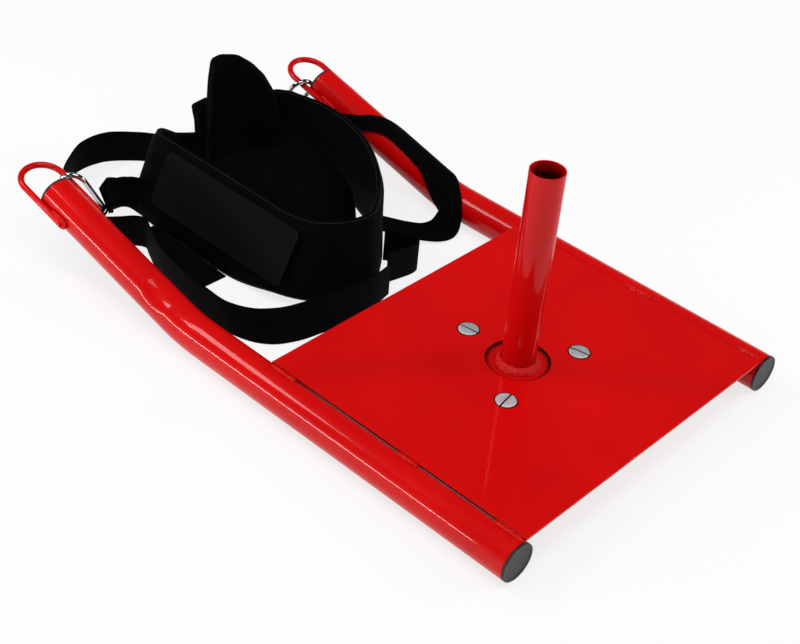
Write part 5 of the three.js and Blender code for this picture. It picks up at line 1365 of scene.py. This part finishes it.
def right_lead_rows(hook):
    """Cross lines of the right lead strap: from the sewn loop up to the runner, over it as a helix on a
    cylinder one strap thicker than the tube, down its inner side, and flat on the floor to the belt."""
    away = TUBE_RADIUS + WRAP_GAP + STRAP_THICKNESS / 2
    quarter = math.pi * away / 2
    on = smooth(ON_RUNNER, 90)
    run = unit(np.diff(on, axis=0)[:, :2] * (FRONT_REACH, quarter))
    start, wide = on[:-1], on[:-1, 2:] * STRAP_WIDTH
    y = DECK_LENGTH + start[:, :1] * FRONT_REACH - CROSS * wide * run[:, 1:]
    turn = (start[:, 1:2] * quarter + CROSS * wide * run[:, :1]) / away
    rise = away * np.cos(turn) / np.where(y > REAR_LENGTH, RUN[1], 1)
    wrapped = np.stack([TRACK_HALF - away * np.sin(turn), y, axis_height(y) + rise], -1)
    lines = [(hook.foot, hook.width, SEWN_WIDTH),
             (hook.foot + hook.pull * STRAP_WIDTH / 4, hook.width, STRAP_WIDTH * NARROW_SHARE)]
    lines += [(laid(*at, z * STRAP_WIDTH), unit(lean), STRAP_WIDTH * wide) for at, z, lean, wide in RISE_ROWS]
    first = [middle + CROSS[:, None] * width * up for middle, up, width in lines]
    floor_lines = []
    for x1, y1, z1, x2, y2, z2 in FLOOR_ROWS:
        upper, lower = laid(x1, y1, z1 * STRAP_WIDTH), laid(x2, y2, z2 * STRAP_WIDTH)
        floor_lines.append(upper + (0.5 - CROSS[:, None]) * (lower - upper))
    intro = smooth_rows([*first, wrapped[0]], 60)[:-1]
    outro = smooth_rows([wrapped[-1], *floor_lines], 60)[1:]
    return np.concatenate([intro, wrapped, outro])


def right_lead(hook):
    """Both faces of the strap through its cross lines: each point moved half the thickness along the
    cross product of the strap's own two directions."""
    rows = right_lead_rows(hook)
    normal = unit(np.cross(np.gradient(rows, axis=1), np.gradient(rows, axis=0)))
    face, rear = (rows + normal * shift for shift in (STRAP_THICKNESS / 2, -STRAP_THICKNESS / 2))
    width_line = np.linspace(0, STRAP_WIDTH, len(CROSS))
    around = np.concatenate([width_line, STRAP_WIDTH + STRAP_THICKNESS + width_line])
    grid = above_floor(np.concatenate([face, rear[:, ::-1]], 1))
    return grid, around, arc_lengths(rows[:, len(CROSS) // 2])


for label, hook in hooks.items():
    cloth_piece(f"hook_webbing_{label}", sewn_loop(hook), webbing, body=f"{label}_hook",
                replaces=[f"sewn_loop_{label}"], loop_rows=True, sharp=60)
for label, lead, reach in (("left", left_lead, 40), ("right", right_lead, 60)):
    hook = hooks[label]
    piece = laid_strap(f"lead_{label}", lead(hook), f"lead_strap_{label}", body=None)
    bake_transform(piece)


# Floor, lamps and background: places in metres, powers in watts

FLOOR_HALF = 8
FLOOR_OWN_SHARE = 0.76
FILL_LIGHT = 0.42
LAMPS = {
    "left_strip": dict(place=(-1.7, 0.72, 0.3), aim=(-0.24, -0.1, 0.05), size=(0.9, 0.14), power=9),
    "key_box": dict(place=(-0.9, 1.5, 2.0), aim=(0, 0, 0), size=(1.0, 0.5), power=15),
    "top_box": dict(place=(-0.3, -0.5, 2.6), aim=(0, 0, 0), size=(1.5, 1.5), power=25),
    "rear_box": dict(place=(1.7, -1.5, 1.2), aim=(0, -0.2, 0.1), size=(0.3, 0.7), power=14),
}


def rays(tree, *kinds):
    """1 for rays of any of the kinds, and else 0."""
    path = add(tree, "ShaderNodeLightPath")
    return folded(tree, "MAXIMUM", [path.outputs[kind] for kind in kinds])


def floor():
    """A wide level floor. To the camera and in reflections it is mostly its own white, and the rest is
    lit, so that it keeps the shadow. Away from the sled it fades to its own white alone."""
    h = FLOOR_HALF
    mesh = bpy.data.meshes.new("floor")
    mesh.from_pydata([(-h, -h, 0), (h, -h, 0), (h, h, 0), (-h, h, 0)], [], [(0, 1, 2, 3)])
    material = bpy.data.materials.new("studio_floor")
    material.use_nodes = True
    tree = material.node_tree
    tree.nodes.clear()
    place = add(tree, "ShaderNodeTexCoord").outputs["Object"]
    far = add(tree, "ShaderNodeVectorMath", {0: place}, operation="LENGTH").outputs["Value"]
    own = mapped(tree, far, 0.8, 1.8, FLOOR_OWN_SHARE, 1)
    share = maths(tree, "MULTIPLY", rays(tree, "Is Camera Ray", "Is Glossy Ray", "Is Transmission Ray"), own)
    lit = add(tree, "ShaderNodeBsdfDiffuse", {"Color": (0.92, 0.92, 0.92, 1)})
    glow = add(tree, "ShaderNodeEmission", {"Color": (1, 1, 1, 1), "Strength": 1.0})
    both = add(tree, "ShaderNodeMixShader", {0: share, 1: lit.outputs[0], 2: glow.outputs[0]})
    add(tree, "ShaderNodeOutputMaterial", {"Surface": both.outputs[0]})
    mesh.materials.append(material)
    linked("floor", mesh)


def lamp(name, place, aim, size, power):
    """A rectangular soft box, turned to aim."""
    data = bpy.data.lights.new(name, "AREA")
    data.shape = "RECTANGLE"
    data.size, data.size_y = size
    data.energy = power
    away = unit(np.subtract(place, aim))
    side = unit(np.cross(Z, away))
    aimed(name, data, side, np.cross(away, side), place)


floor()
for name, settings in LAMPS.items():
    lamp(name, **settings)

world = bpy.data.worlds.new("studio")
bpy.context.scene.world = world
world.use_nodes = True
sky = world.node_tree
sky.nodes.clear()
# Pale walls up to a dark ceiling: what reflections see, by the height of their direction
direction = add(sky, "ShaderNodeTexCoord").outputs["Generated"]
walls = mapped(sky, axes_of(sky, direction)[2], 0.02, 0.4, 0.3, 0.02)
mirrored = rays(sky, "Is Glossy Ray", "Is Transmission Ray")
fill = maths(sky, "MULTIPLY_ADD", mirrored, -FILL_LIGHT, FILL_LIGHT)
unseen = maths(sky, "MULTIPLY_ADD", mirrored, walls, fill)
level = maths(sky, "MAXIMUM", unseen, rays(sky, "Is Camera Ray"))
glow = add(sky, "ShaderNodeBackground", {"Color": (1, 1, 1, 1), "Strength": level})
add(sky, "ShaderNodeOutputWorld", {"Surface": glow.outputs[0]})

bpy.context.scene.view_settings.view_transform = "Standard"
